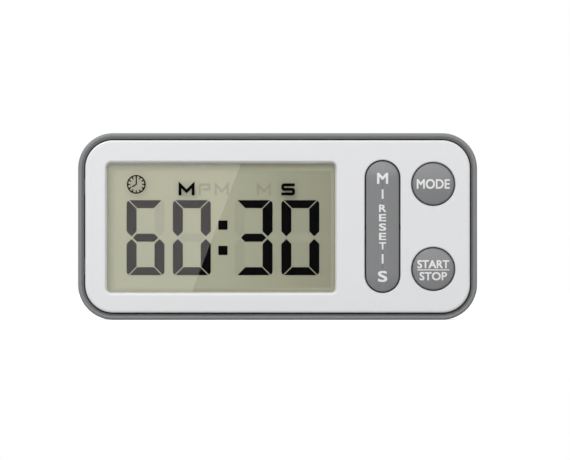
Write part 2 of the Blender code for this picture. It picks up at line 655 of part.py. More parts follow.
def make_keypad():
    """The silicone sheet with a hollow dome under each contact, and the contacts."""
    left = PILL_X - SHEET_MARGIN
    right = ROUND_KEY_X + SHEET_MARGIN
    height = PILL_POST_SPREAD + 2 * SHEET_MARGIN
    outline = rounded_outline(right - left, height, SHEET_RADIUS, ((left + right) / 2, MIDDLE_Z))
    sheet = prism("rubber_keypad", outline, SHEET_FRONT, SHEET_BACK)
    hollow_top = DOME_TOP + DOME_WALL
    for place in KEY_PLACES.values():
        join(sheet, loft("dome", [
            (DOME_TOP, circle_outline(DOME_TOP_RADIUS, place, SMALL_STEPS)),
            (SHEET_FRONT + SEAT_GAP, circle_outline(DOME_FOOT_RADIUS, place, SMALL_STEPS))]))
        cut(sheet, loft("hollow", [
            (hollow_top, circle_outline(DOME_TOP_RADIUS - DOME_WALL, place, SMALL_STEPS)),
            (SHEET_BACK + SEAT_GAP, circle_outline(DOME_FOOT_RADIUS - DOME_WALL, place, SMALL_STEPS))]))
    finish(sheet, "grey_rubber", (PILL_X, FACE_Y + SHEET_BACK, MIDDLE_Z))
    front = hollow_top + LAYER_GAP
    for key, place in KEY_PLACES.items():
        pill = cylinder(f"carbon_pill_{key}", place, PILL_CONTACT_RADIUS, front,
                        front + PILL_CONTACT_THICKNESS, SMALL_STEPS)
        finish(pill, "carbon", (place[0], FACE_Y + front, place[1]))


# ---------------------------------------------------------------- electronics

def make_board():
    """The circuit board, notched round the battery bay, with holes for the screws."""
    inset = CASE_WALL + BOARD_MARGIN + SKIRT_WALL
    outline = rounded_outline(WIDTH - 2 * inset, HEIGHT - 2 * inset, BOARD_RADIUS, (0, MIDDLE_Z))
    board = prism("circuit_board", outline, BOARD_DEPTH, BOARD_BACK)
    bay_low = BAY_Z - BAY_HALF - BAY_WALL
    cut(board, block("notch", -WIDTH, BAY_RIGHT + BAY_WALL + BOARD_MARGIN, BOARD_DEPTH - OVERSHOOT,
                     BOARD_BACK + OVERSHOOT, bay_low - BOARD_MARGIN, HEIGHT))
    for place in SCREW_PLACES:
        cut(board, cylinder("hole", place, SCREW_RADIUS + FIT_GAP, BOARD_DEPTH - OVERSHOOT,
                            BOARD_BACK + OVERSHOOT, SMALL_STEPS))
    finish(board, "board", (0, FACE_Y + BOARD_BACK, MIDDLE_Z))


def make_board_parts():
    """The covered chip, the crystal, the capacitor and two resistors, on the board's back."""
    base = BOARD_BACK + SEAT_GAP
    chip_z = MIDDLE_Z - CHIP_DROP
    rings = []
    for step in range(4):
        lift = math.pi / 2 * step / 4
        outline = circle_outline(CHIP_RADIUS * math.cos(lift), (CHIP_X, chip_z), 20)
        rings.append((base + CHIP_HEIGHT * math.sin(lift), outline))
    finish(loft("chip_blob", rings), "epoxy", (CHIP_X, FACE_Y + base, chip_z))
    for name, radius, length, offset, finish_name in (
            ("crystal_can", CRYSTAL_RADIUS, CRYSTAL_LENGTH, CRYSTAL_OFFSET, "can_steel"),
            ("filter_capacitor", CAPACITOR_RADIUS, CAPACITOR_LENGTH, CAPACITOR_OFFSET, "chip_black")):
        x = CHIP_X + offset[0]
        z = chip_z + offset[1]
        can = cross_bar(name, base + radius, z, radius, x - length / 2, x + length / 2)
        finish(can, finish_name, (x, FACE_Y + base, z))
    width, thickness, length = RESISTOR_SIZE
    for number, offset in enumerate(RESISTOR_OFFSETS, start=1):
        x = CHIP_X + offset[0]
        z = chip_z + offset[1]
        resistor = block(f"resistor_{number}", x - width / 2, x + width / 2, base, base + thickness,
                         z - length / 2, z + length / 2)
        finish(resistor, "chip_black", (x, FACE_Y + base, z))


def make_buzzer():
    """The brass disc and, on its inner side, the piezo ceramic."""
    centre = (BUZZER_X, BUZZER_Z)
    seat = BACK - BACK_WALL - BUZZER_CAVITY
    disc_back = seat - SEAT_GAP
    disc_front = disc_back - BUZZER_THICKNESS
    disc = cylinder("buzzer_disc", centre, BUZZER_RADIUS, disc_front, disc_back)
    finish(disc, "brass", (BUZZER_X, FACE_Y + disc_back, BUZZER_Z))
    ceramic_back = disc_front - LAYER_GAP
    ceramic_front = ceramic_back - CERAMIC_THICKNESS
    ceramic = cylinder("buzzer_ceramic", centre, CERAMIC_RADIUS, ceramic_front, ceramic_back, 24)
    finish(ceramic, "white_ceramic", (BUZZER_X, FACE_Y + ceramic_back, BUZZER_Z))
    ends = (BOARD_BACK + SEAT_GAP, BUZZER_Z - LEAD_DROP)
    on_ceramic = (BUZZER_X - CERAMIC_RADIUS / 2, ceramic_front - SEAT_GAP, BUZZER_Z)
    on_disc = (BUZZER_X + (CERAMIC_RADIUS + BUZZER_RADIUS) / 2, disc_front - SEAT_GAP, BUZZER_Z)
    make_lead("buzzer_lead_red", on_ceramic, (BUZZER_X - CERAMIC_RADIUS, *ends), "red_lead")
    make_lead("buzzer_lead_black", on_disc, (BUZZER_X + CERAMIC_RADIUS, *ends), "black_lead")


def make_lead(name, start, end, finish_name):
    """A short insulated lead that leaves both ends along Y; points are (x, depth, z)."""
    ends = [Vector((point[0], FACE_Y + point[1], point[2])) for point in (start, end)]
    reach = Vector((0, (ends[0].y - ends[1].y) * LEAD_BOW, 0))
    handles = [ends[0] - reach, ends[1] + reach]
    curve = bpy.data.curves.new(name, "CURVE")
    curve.dimensions = "3D"
    curve.bevel_depth = LEAD_RADIUS
    curve.bevel_resolution = 2
    curve.use_fill_caps = True
    spline = curve.splines.new("POLY")
    count = 12
    spline.points.add(count - 1)
    for index, point in enumerate(spline.points):
        t = index / (count - 1)
        place = (ends[0] * (1 - t) ** 3 + handles[0] * 3 * t * (1 - t) ** 2
                 + handles[1] * 3 * t ** 2 * (1 - t) + ends[1] * t ** 3)
        point.co = (*place, 1.0)
    finish(curve_to_piece(name, curve), finish_name, ends[0])


def curve_to_piece(name, curve):
    """The closed mesh of a bevelled curve."""
    source = bpy.data.objects.new("source", curve)
    bpy.context.collection.objects.link(source)
    depsgraph = bpy.context.evaluated_depsgraph_get()
    data = bpy.data.meshes.new_from_object(source.evaluated_get(depsgraph))
    mesh = bmesh.new()
    mesh.from_mesh(data)
    bmesh.ops.remove_doubles(mesh, verts=mesh.verts, dist=0.00001)
    bmesh.ops.recalc_face_normals(mesh, faces=mesh.faces)
    mesh.to_mesh(data)
    mesh.free()
    bpy.data.objects.remove(source)
    piece = bpy.data.objects.new(name, data)
    bpy.context.collection.objects.link(piece)
    return piece


# ---------------------------------------------------------------- battery

def contact_places():
    """The x range of the positive and of the negative contact plate."""
    positive = (BAY_LEFT + FIT_GAP, BAY_LEFT + FIT_GAP + CONTACT_THICKNESS)
    negative = (BAY_RIGHT - FIT_GAP - CONTACT_THICKNESS, BAY_RIGHT - FIT_GAP)
    return positive, negative


def contact_outline():
    """A square plate with a solder tab that passes down through the bay's wall."""
    front = BATTERY_AXIS_DEPTH - BATTERY_DIAMETER / 2
    back = BATTERY_AXIS_DEPTH + BATTERY_DIAMETER / 2
    low = BAY_Z - BAY_HALF + FIT_GAP
    high = BAY_Z + BAY_HALF - FIT_GAP
    tab_low = BAY_Z - BAY_HALF - BAY_WALL - FIT_GAP
    tab_front = BATTERY_AXIS_DEPTH - CONTACT_TAB / 2
    tab_back = BATTERY_AXIS_DEPTH + CONTACT_TAB / 2
    return [(front, high), (front, low), (tab_front, low), (tab_front, tab_low),
            (tab_back, tab_low), (tab_back, low), (back, low), (back, high)]


def make_battery():
    """The AAA cell, its two contacts, the spring and the two leads."""
    axis = (BATTERY_AXIS_DEPTH, BAY_Z)
    radius = BATTERY_DIAMETER / 2
    shoulder = BATTERY_LEFT + BATTERY_NUB_LENGTH
    end = BATTERY_LEFT + BATTERY_LENGTH
    profile = [(BATTERY_LEFT, BATTERY_NUB_RADIUS), (shoulder, BATTERY_NUB_RADIUS),
               (shoulder, radius - BATTERY_SHOULDER),
               (shoulder + BATTERY_SHOULDER / 2, radius - BATTERY_SHOULDER / 8),
               (shoulder + BATTERY_SHOULDER, radius),
               (end - BATTERY_END_CHAMFER, radius), (end, radius - BATTERY_END_CHAMFER)]
    cell = loft("battery", [(x, circle_outline(size, axis, 24)) for x, size in profile], along="X")
    finish(cell, "cell_label", (BATTERY_LEFT, FACE_Y + BATTERY_AXIS_DEPTH, BAY_Z))
    positive, negative = contact_places()
    for name, places in (("battery_contact", positive), ("spring_contact", negative)):
        plate = loft(name, [(x, contact_outline()) for x in places], along="X")
        finish(plate, "spring_steel", (places[0], FACE_Y + BATTERY_AXIS_DEPTH, BAY_Z))
    make_spring(end + SPRING_WIRE_RADIUS + SEAT_GAP, negative[0] - SPRING_WIRE_RADIUS - SEAT_GAP)
    tab_low = BAY_Z - BAY_HALF - BAY_WALL - FIT_GAP - LEAD_RADIUS
    for name, places, finish_name in (
            ("battery_lead_red", positive, "red_lead"), ("battery_lead_black", negative, "black_lead")):
        x = sum(places) / 2
        make_lead(name, (x, BATTERY_AXIS_DEPTH, tab_low - SEAT_GAP),
                  (x + LEAD_SIDESTEP, BOARD_BACK + SEAT_GAP, tab_low - LEAD_DROP), finish_name)


def make_spring(left, right):
    """The conical coil that pushes on the cell's flat end."""
    curve = bpy.data.curves.new("battery_spring", "CURVE")
    curve.dimensions = "3D"
    curve.bevel_depth = SPRING_WIRE_RADIUS
    curve.bevel_resolution = 1
    curve.use_fill_caps = True
    spline = curve.splines.new("POLY")
    per_turn = 12
    count = SPRING_TURNS * per_turn + 1
    spline.points.add(count - 1)
    for index, point in enumerate(spline.points):
        t = index / (count - 1)
        angle = 2 * math.pi * SPRING_TURNS * t
        radius = SPRING_SMALL_RADIUS + (SPRING_LARGE_RADIUS - SPRING_SMALL_RADIUS) * t
        point.co = (left + (right - left) * t, FACE_Y + BATTERY_AXIS_DEPTH + radius * math.cos(angle),
                    BAY_Z + radius * math.sin(angle), 1.0)
    piece = curve_to_piece("battery_spring", curve)
    finish(piece, "spring_steel", (right, FACE_Y + BATTERY_AXIS_DEPTH, BAY_Z))


def make_battery_door():
    """The flush cover of the bay; its origin is on the outer left edge it turns about."""
    width = BAY_LENGTH + 2 * DOOR_LEDGE - 2 * FIT_GAP
    height = 2 * (BAY_HALF + DOOR_LEDGE - FIT_GAP)
    outline = rounded_outline(
        width, height, DOOR_CORNER_RADIUS, ((BAY_LEFT + BAY_RIGHT) / 2, BAY_Z), steps=2)
    door = prism("battery_door", outline, DOOR_INNER, BACK)
    left = BAY_LEFT - DOOR_LEDGE + FIT_GAP
    finish(door, "grey_shell", (left, FACE_Y + BACK, BAY_Z))


# ---------------------------------------------------------------- stand and small parts

def make_kickstand():
    """The folding stand: a plate, its barrel with end pins, and a finger notch."""
    left = STAND_CENTRE_X - STAND_WIDTH / 2
    right = STAND_CENTRE_X + STAND_WIDTH / 2
    stand = block("kickstand", left, right, BACK - STAND_THICKNESS, BACK, STAND_FOOT_Z, STAND_AXIS_Z)
    join(
        stand,
        cross_bar("barrel", STAND_AXIS_Y, STAND_AXIS_Z, STAND_BARREL_RADIUS, left, right),
        cross_bar("pins", STAND_AXIS_Y, STAND_AXIS_Z, STAND_PIN_RADIUS,
                  left - STAND_PIN_REACH, right + STAND_PIN_REACH),
    )
    cut(stand, cylinder("notch", (STAND_CENTRE_X, STAND_FOOT_Z), STAND_NOTCH_RADIUS,
                        BACK - 2 * STAND_THICKNESS, BACK + OVERSHOOT))
    finish(stand, "grey_shell", (STAND_CENTRE_X, FACE_Y + STAND_AXIS_Y, STAND_AXIS_Z))


def make_magnets():
    for side, place in MAGNET_PLACES.items():
        magnet = cylinder(f"magnet_{side}", place, MAGNET_RADIUS, BACK - MAGNET_THICKNESS, BACK)
        finish(magnet, "magnet_nickel", (place[0], FACE_Y + BACK, place[1]))


def make_screws():
    """Four case screws, each a turned head and shank."""
    head_front = SCREW_SHOULDER_DEPTH + FIT_GAP
    head_back = head_front + SCREW_HEAD_HEIGHT
    profile = [(SCREW_TIP_DEPTH, SCREW_RADIUS / 2), (SCREW_TIP_DEPTH + SCREW_RADIUS, SCREW_RADIUS),
               (head_front, SCREW_RADIUS), (head_front, SCREW_HEAD_RADIUS),
               (head_back - SCREW_HEAD_CHAMFER, SCREW_HEAD_RADIUS),
               (head_back, SCREW_HEAD_RADIUS - SCREW_HEAD_CHAMFER)]
    for number, place in enumerate(SCREW_PLACES, start=1):
        screw = loft(f"case_screw_{number}",
                     [(depth, circle_outline(size, place, SMALL_STEPS)) for depth, size in profile])
        finish(screw, "screw_steel", (place[0], FACE_Y + head_front, place[1]))


def main():
    for item in list(bpy.data.objects):
        bpy.data.objects.remove(item)
    bpy.context.collection.objects.link(bpy.data.objects.new("timer", None))
    make_front_shell()
    make_rear_case()
    make_display()
    make_round_key("mode_button", "mode")
    make_round_key("start_stop_button", "start_stop")
    make_pill_key()
    make_rocker_pin()
    make_keypad()
    make_board()
    make_board_parts()
    make_buzzer()
    make_battery()
    make_battery_door()
    make_kickstand()
    make_magnets()
    make_screws()


main()
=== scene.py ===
import math

import bmesh
import bpy
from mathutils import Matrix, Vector


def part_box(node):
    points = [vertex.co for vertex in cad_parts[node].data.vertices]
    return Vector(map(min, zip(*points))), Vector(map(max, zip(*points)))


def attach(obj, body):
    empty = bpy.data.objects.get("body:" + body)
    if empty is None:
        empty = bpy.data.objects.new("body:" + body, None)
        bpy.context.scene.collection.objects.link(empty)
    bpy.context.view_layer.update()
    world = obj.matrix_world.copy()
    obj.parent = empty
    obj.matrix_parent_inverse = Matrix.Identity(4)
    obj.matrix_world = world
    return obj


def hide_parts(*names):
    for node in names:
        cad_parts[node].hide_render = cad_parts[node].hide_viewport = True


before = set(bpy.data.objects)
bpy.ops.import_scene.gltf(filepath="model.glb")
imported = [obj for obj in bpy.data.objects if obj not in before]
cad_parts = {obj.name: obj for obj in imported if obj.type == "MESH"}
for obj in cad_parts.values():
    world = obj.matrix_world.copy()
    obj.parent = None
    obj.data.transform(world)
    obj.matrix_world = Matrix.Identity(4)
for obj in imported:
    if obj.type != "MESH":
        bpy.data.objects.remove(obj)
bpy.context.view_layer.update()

bl_info = {
    "name": "Kitchen timer looks",
    "version": (1, 0, 0),
    "blender": (4, 5, 0),
    "location": "3D View > Sidebar > Kitchen timer",
    "description": "Builds the surfaces and finishes of a digital kitchen timer round its solid model",
    "category": "Object",
}

MM = 0.001


def node_box(name):
    """The lowest and highest corner of a solid, as vectors."""
    low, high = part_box(name)
    return Vector(low), Vector(high)


def middle(name):
    low, high = node_box(name)
    return (low + high) / 2


def spot(name):
    """Where a solid's middle lies on the face, as (x, z)."""
    return middle(name).x, middle(name).z


# Places and sizes that the solid model fixes
CASE_LOW, CASE_HIGH = node_box("rear_case")
SHELL_LOW, SHELL_HIGH = node_box("front_shell")
LENS_LOW, LENS_HIGH = node_box("display_lens")
FILM_LOW, FILM_HIGH = node_box("lcd_front_polarizer")
DOOR_LOW, DOOR_HIGH = node_box("battery_door")
STAND_LOW, STAND_HIGH = node_box("kickstand")
CELL_LOW, CELL_HIGH = node_box("battery")
SPRING_LOW, SPRING_HIGH = node_box("battery_spring")
PILL_LOW, PILL_HIGH = node_box("minute_second_key")
MIDDLE_Z = (CASE_LOW.z + CASE_HIGH.z) / 2
FACE_Y = SHELL_LOW.y
BACK_Y = CASE_HIGH.y
KEY_TOP_Y = node_box("mode_button")[0].y
FACE_WIDTH = 2 * SHELL_HIGH.x
FACE_HEIGHT = SHELL_HIGH.z - SHELL_LOW.z
FACE_INSET = CASE_HIGH.x - SHELL_HIGH.x
WINDOW_X = (LENS_LOW.x + LENS_HIGH.x) / 2
MODE_PLACE = spot("mode_button")
START_PLACE = spot("start_stop_button")
PILL_PLACE = (middle("minute_second_key").x, MIDDLE_Z)
SCREWS = ["case_screw_1", "case_screw_2", "case_screw_3", "case_screw_4"]
MAGNETS = ["magnet_left", "magnet_right"]

# Sizes of the solid model's details that no box gives
FIT_GAP = 0.3 * MM
FACE_THICKNESS = 2.1 * MM
SKIRT_DEPTH = 4.9 * MM
SKIRT_WALL = 1.4 * MM
LENS_LEDGE = 1.2 * MM
LEDGE_DEPTH = 1.5 * MM
BACK_WALL = 1.4 * MM
CASE_WALL = FACE_INSET - FIT_GAP
STAND_THICKNESS = 1.8 * MM
STAND_BARREL_RADIUS = 1.3 * MM
STAND_AXIS_DEPTH = 1.5 * MM
STAND_PIN_RADIUS = 0.8 * MM
STAND_PIN_REACH = 1.0 * MM
STAND_NOTCH_RADIUS = 4.5 * MM
DOOR_LEDGE = 0.9 * MM
SHANK_RADIUS = 0.9 * MM
POST_FRONT = 8.3 * MM
SCREW_SHOULDER = 12.0 * MM
SOUND_HOLE_RADIUS = 0.8 * MM
SOUND_HOLE_PITCH = 3.2 * MM

CORNER_STEPS = 16
ROUND_STEPS = 64
FILLET_STEPS = 5
SHARP_ANGLE = math.radians(32)
HEAD_BEND = 0.55 * math.pi / 2
GRAIN_HEIGHT = 0.00006
LINE_HEIGHT = 0.00003
INK = 0.03 * MM
BOLD = 0.14 * MM


# ---------------------------------------------------------------- settings

def size_setting(label, about, default):
    """A length that can be changed."""
    return bpy.props.FloatProperty(
        name=label, description=about, default=default, subtype="DISTANCE", unit="LENGTH")


def colour_setting(label, about, default):
    """A colour that can be changed."""
    return bpy.props.FloatVectorProperty(
        name=label, description=about, default=default, size=3, subtype="COLOR", min=0, max=1)


class CaseSettings(bpy.types.PropertyGroup):
    """Sizes and colours of the two shells."""

    corner_radius: size_setting("Corner radius", "Outer corner radius of the case", 8.8 * MM)
    window_radius: size_setting("Window radius", "Corner radius of the display window", 1.4 * MM)
    face_fillet: size_setting("Face fillet", "Rounding of the white face's outer edge", 0.5 * MM)
    window_drop: size_setting("Window drop", "How far the window sits below the face's middle", 0.32 * MM)
    window_fillet: size_setting("Window fillet", "Rounding of the display window's edge", 0.5 * MM)
    hole_fillet: size_setting("Hole fillet", "Rounding of the holes in the face", 0.3 * MM)
    back_radius: size_setting("Back edge radius", "Rounding between the sides and the back", 2.0 * MM)
    rim_chamfer: size_setting("Rim chamfer", "Slope on the inner half of the grey rim", 0.7 * MM)
    white: colour_setting("White plastic", "Colour of the face", (0.80, 0.805, 0.815))
    grey: colour_setting("Grey plastic", "Colour of the case, stand and door", (0.215, 0.218, 0.222))


class DisplaySettings(bpy.types.PropertyGroup):
    """What the display shows, and how large."""

    reading: bpy.props.StringProperty(
        name="Reading", description="Four digits, minutes then seconds", default="6030")
    digit_width: size_setting("Digit width", "Width of one digit", 9.5 * MM)
    digit_height: size_setting("Digit height", "Height of one digit", 18.8 * MM)
    upright: size_setting("Upright stroke", "Width of an upright segment", 2.5 * MM)
    level: size_setting("Level stroke", "Height of a level segment", 2.0 * MM)
    icon_ticks: bpy.props.IntProperty(
        name="Icon ticks", description="Hour marks round the clock symbol", default=12, min=4, max=24)
    background: colour_setting("Background", "Colour of the idle display", (0.42, 0.42, 0.302))


class KeySettings(bpy.types.PropertyGroup):
    """Sizes and colours of the keys."""

    round_diameter: size_setting("Round key", "Diameter of the mode and start/stop keys", 10.4 * MM)
    crown: size_setting("Crown", "How much the middle of a key stands above its edge", 0.35 * MM)
    fillet: size_setting("Key fillet", "Rounding of a key's edge", 0.45 * MM)
    grey: colour_setting("Key plastic", "Colour of the keys", (0.216, 0.218, 0.223))


class BackSettings(bpy.types.PropertyGroup):
    """Details of the battery door and the spring behind it."""

    rib_pitch: size_setting("Rib pitch", "Distance between grip ribs", 1.1 * MM)
    door_ribs: bpy.props.IntProperty(
        name="Door ribs", description="Grip ribs on the battery door", default=5, min=1, max=20)
    spring_turns: bpy.props.FloatProperty(
        name="Spring turns", description="Turns of the battery spring", default=4.5, min=1.0, max=12.0)


class StudioSettings(bpy.types.PropertyGroup):
    """Light and camera."""

    lens: bpy.props.FloatProperty(
        name="Lens", description="Focal length of the camera", default=0.3782, subtype="DISTANCE_CAMERA")
    distance: size_setting("Distance", "Camera to the timer's face", 1.5)
    key_power: bpy.props.FloatProperty(
        name="Key light", description="Power of the overhead softbox", default=1.58,
        subtype="POWER", unit="POWER")
    glare: bpy.props.FloatProperty(
        name="Glare", description="Brightness of the card that the lens mirrors", default=0.44)
    upper_glow: bpy.props.FloatProperty(
        name="Upper glow", description="Brightness of the card that the tops of the keys mirror", default=2.1)


# ---------------------------------------------------------------- outlines

def rounded(width, height, radius, centre, steps=CORNER_STEPS):
    """Points of a rounded rectangle, as (x, z)."""
    points = []
    for quarter, (side_x, side_z) in enumerate(((1, 1), (-1, 1), (-1, -1), (1, -1))):
        corner_x = centre[0] + side_x * (width / 2 - radius)
        corner_z = centre[1] + side_z * (height / 2 - radius)
        for step in range(steps + 1):
            angle = (quarter + step / steps) * math.pi / 2
            points.append((corner_x + radius * math.cos(angle), corner_z + radius * math.sin(angle)))
    return points


def circle(radius, centre, steps=ROUND_STEPS):
    angles = [2 * math.pi * step / steps for step in range(steps)]
    return [(centre[0] + radius * math.cos(a), centre[1] + radius * math.sin(a)) for a in angles]


def shrinking(width, height, radius, centre, steps=CORNER_STEPS):
    """A rounded rectangle as a function of how far it is drawn in."""
    def outline(inset):
        return rounded(width - 2 * inset, height - 2 * inset, max(radius - inset, 1e-5), centre, steps)
    return outline


def growing(width, height, radius, centre, steps=CORNER_STEPS):
    """The same for a hole, which grows as the material draws back."""
    def outline(inset):
        corner = max(radius + inset, 0.3 * MM)
        return rounded(width + 2 * inset, height + 2 * inset, corner, centre, steps)
    return outline


def growing_circle(radius, centre, steps=ROUND_STEPS):
    def outline(inset):
        return circle(radius + inset, centre, steps)
    return outline


def shrinking_circle(radius, centre, steps=ROUND_STEPS):
    def outline(inset):
        return circle(radius - inset, centre, steps)
    return outline


def arc(centre, radius, start, steps=8):
    """A quarter turn of points, as (x, z), anticlockwise from the start angle."""
    angles = [start + math.pi / 2 * step / steps for step in range(steps + 1)]
    return [(centre[0] + radius * math.cos(a), centre[1] + radius * math.sin(a)) for a in angles]


def quarter(radius, steps=FILLET_STEPS):
    """Inset and rise along a quarter round, from the side to the top."""
    angles = [math.pi / 2 * step / steps for step in range(steps + 1)]
    return [(radius * (1 - math.cos(a)), radius * math.sin(a)) for a in angles]


# ---------------------------------------------------------------- mesh building

class Skin:
    """A mesh built from rings of points, the bands between them and flat regions."""

    def __init__(self):
        self.mesh = bmesh.new()

    def ring(self, outline, y):
        return [self.mesh.verts.new((x, y, z)) for x, z in outline]

    def cross_ring(self, x, outline):
        """A ring whose outline is given as (y, z)."""
        return [self.mesh.verts.new((x, y, z)) for y, z in outline]

    def band(self, rings):
        """Smooth faces from each ring to the next."""
        for first, second in zip(rings, rings[1:]):
            count = len(first)
            for i in range(count):
                j = (i + 1) % count
                face = self.mesh.faces.new((first[i], first[j], second[j], second[i]))
                face.smooth = True

    def region(self, rings):
        """A flat face inside the first ring, with the other rings as holes."""
        edges = []
        for ring in rings:
            for first, second in zip(ring, ring[1:] + ring[:1]):
                edge = self.mesh.edges.get((first, second))
                edges.append(edge or self.mesh.edges.new((first, second)))
        made = bmesh.ops.triangle_fill(self.mesh, edges=edges, use_beauty=True, use_dissolve=False)
        for item in made["geom"]:
            if isinstance(item, bmesh.types.BMFace):
                item.smooth = False

    def edge_rings(self, outline, fillet, y, inward):
        """The rings of a filleted edge, from the wall to the flat; inward is +1 for a front face."""
        return [self.ring(outline(inset), y + inward * (fillet - rise)) for inset, rise in quarter(fillet)]

    def slab(self, boundaries, front, back, back_fillet=0.0):
        """A plate along Y. Each boundary is (outline, fillet); the first is the outer one."""
        fronts = []
        backs = []
        for outline, fillet in boundaries:
            rings = self.edge_rings(outline, fillet, front, 1) if fillet else [self.ring(outline(0), front)]
            rear = (self.edge_rings(outline, back_fillet, back, -1) if back_fillet
                    else [self.ring(outline(0), back)])
            self.band(rings[::-1] + rear)
            fronts.append(rings[-1])
            backs.append(rear[-1])
        self.region(fronts)
        self.region(backs)

    def turned(self, centre, profile, steps=ROUND_STEPS):
        """A closed shape turned about a line along Y; profile is (y, radius)."""
        rings = [self.ring(circle(radius, centre, steps), y) for y, radius in profile]
        self.band(rings)
        self.region([rings[0]])
        self.region([rings[-1]])

    def box(self, low, high):
        """A plain block."""
        corners = [self.mesh.verts.new((x, y, z)) for x in (low[0], high[0])
                   for y in (low[1], high[1]) for z in (low[2], high[2])]
        sides = ((0, 1, 3, 2), (4, 6, 7, 5), (0, 4, 5, 1), (2, 3, 7, 6), (0, 2, 6, 4), (1, 5, 7, 3))
        for a, b, c, d in sides:
            self.mesh.faces.new((corners[a], corners[b], corners[c], corners[d]))

    def piece(self, name, material):
        """Turns the mesh into an object with its faces outwards and its flats kept flat."""
        bmesh.ops.recalc_face_normals(self.mesh, faces=self.mesh.faces)
        for edge in self.mesh.edges:
            edge.smooth = len(edge.link_faces) == 2 and edge.calc_face_angle() < SHARP_ANGLE
        data = bpy.data.meshes.new(name)
        self.mesh.to_mesh(data)
        self.mesh.free()
        return as_piece(name, data, material)


def as_piece(name, data, material):
    """A linked object with this mesh and material."""
    data.name = name
    data.materials.clear()
    data.materials.append(material)
    piece = bpy.data.objects.new(name, data)
    bpy.context.scene.collection.objects.link(piece)
    return piece


def settle(piece, body, slot, *nodes):
    """Hangs a finished piece on the body it moves with and hides the solids that it stands for; the slot is
    not used.
    """
    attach(piece, body)
    if nodes:
        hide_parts(*nodes)


def evaluated_mesh(source):
    """The plain mesh of an object with its modifiers, after which the object is removed."""
    depsgraph = bpy.context.evaluated_depsgraph_get()
    data = bpy.data.meshes.new_from_object(source.evaluated_get(depsgraph))
    bpy.data.objects.remove(source)
    return data


def lettering(text, width, height, centre, thickness, bold, surface):
    """Words of print, stretched to their width and height and laid on a surface that faces -Y."""
    curve = bpy.data.curves.new("lettering", "FONT")
    curve.body = text
    curve.extrude = 1.0
    curve.resolution_u = 4
    source = bpy.data.objects.new("lettering", curve)
    bpy.context.scene.collection.objects.link(source)
    data = evaluated_mesh(source)
    xs = [vertex.co.x for vertex in data.vertices]
    ys = [vertex.co.y for vertex in data.vertices]
    scale_x = (width - bold) / (max(xs) - min(xs))
    scale_z = (height - bold) / (max(ys) - min(ys))
    copies = []
    for layer, (shift_x, shift_z) in enumerate(((-1, -1), (1, -1), (1, 1), (-1, 1))):
        copy = data.copy()
        lift = thickness + layer * 0.006 * MM
        for vertex in copy.vertices:
            x = centre[0] + (vertex.co.x - (max(xs) + min(xs)) / 2) * scale_x + shift_x * bold / 2
            z = centre[1] + (vertex.co.y - (max(ys) + min(ys)) / 2) * scale_z + shift_z * bold / 2
            vertex.co = (x, surface(x, z) - (lift if vertex.co.z > 0 else 0.0), z)
        copies.append(copy)
    return copies


def merged(name, meshes, material):
    """One piece from several meshes."""
    whole = bmesh.new()
    for data in meshes:
        whole.from_mesh(data)
    data = bpy.data.meshes.new(name)
    whole.to_mesh(data)
    whole.free()
    return as_piece(name, data, material)


# ---------------------------------------------------------------- node trees

def add(tree, kind, inputs=(), **settings):
    """Adds a node. Inputs maps a socket's name or number to a value or to another node's output."""
    made = tree.nodes.new(kind)
    for key, value in settings.items():
        setattr(made, key, value)
    for key, value in dict(inputs).items():
        if isinstance(value, bpy.types.NodeSocket):
            tree.links.new(value, made.inputs[key])
        else:
            made.inputs[key].default_value = value
    return made


def maths(tree, operation, *values, clamp=False):
    """The result of one sum."""
    made = add(tree, "ShaderNodeMath", dict(enumerate(values)), operation=operation, use_clamp=clamp)
    return made.outputs[0]


def own_place(tree):
    return add(tree, "ShaderNodeTexCoord").outputs["Object"]


def noise(tree, place, scale, detail, roughness=0.5):
    made = add(tree, "ShaderNodeTexNoise", {
        "Vector": place, "Scale": scale, "Detail": detail, "Roughness": roughness})
    return made.outputs["Fac"]


def ramped(tree, value, low, high, to_low=0.0, to_high=1.0):
    """A value stretched from one range to another."""
    made = add(tree, "ShaderNodeMapRange", {
        "Value": value, "From Min": low, "From Max": high, "To Min": to_low, "To Max": to_high})
    return made.outputs["Result"]


def blended(tree, share, first, second):
    """A colour between two others."""
    return add(tree, "ShaderNodeMix", {"Factor": share, 6: first, 7: second}, data_type="RGBA").outputs[2]


def new_tree(name, kind, inputs, outputs):
    """An empty node group with its named sockets; returns it with its input and output nodes."""
    tree = bpy.data.node_groups.new(name, kind)
    for label, socket_type, default in inputs:
        socket = tree.interface.new_socket(name=label, in_out="INPUT", socket_type=socket_type)
        if default is not None:
            socket.default_value = default
    for label, socket_type in outputs:
        tree.interface.new_socket(name=label, in_out="OUTPUT", socket_type=socket_type)
    return tree, tree.nodes.new("NodeGroupInput"), tree.nodes.new("NodeGroupOutput")


def close(tree, last, results):
    """Links results to the named inputs of a tree's last node."""
    for label, socket in results.items():
        tree.links.new(socket, last.inputs[label])


def grow(name, tree, **values):
    """The plain mesh that a Geometry Nodes tree makes with these inputs."""
    source = bpy.data.objects.new(name, bpy.data.meshes.new(name))
    bpy.context.scene.collection.objects.link(source)
    modifier = source.modifiers.new(name, "NODES")
    modifier.node_group = tree
    for socket in tree.interface.items_tree:
        key = socket.name.lower().replace(" ", "_")
        if socket.in_out == "INPUT" and key in values:
            modifier[socket.identifier] = values[key]
    return evaluated_mesh(source)


# ---------------------------------------------------------------- finishes

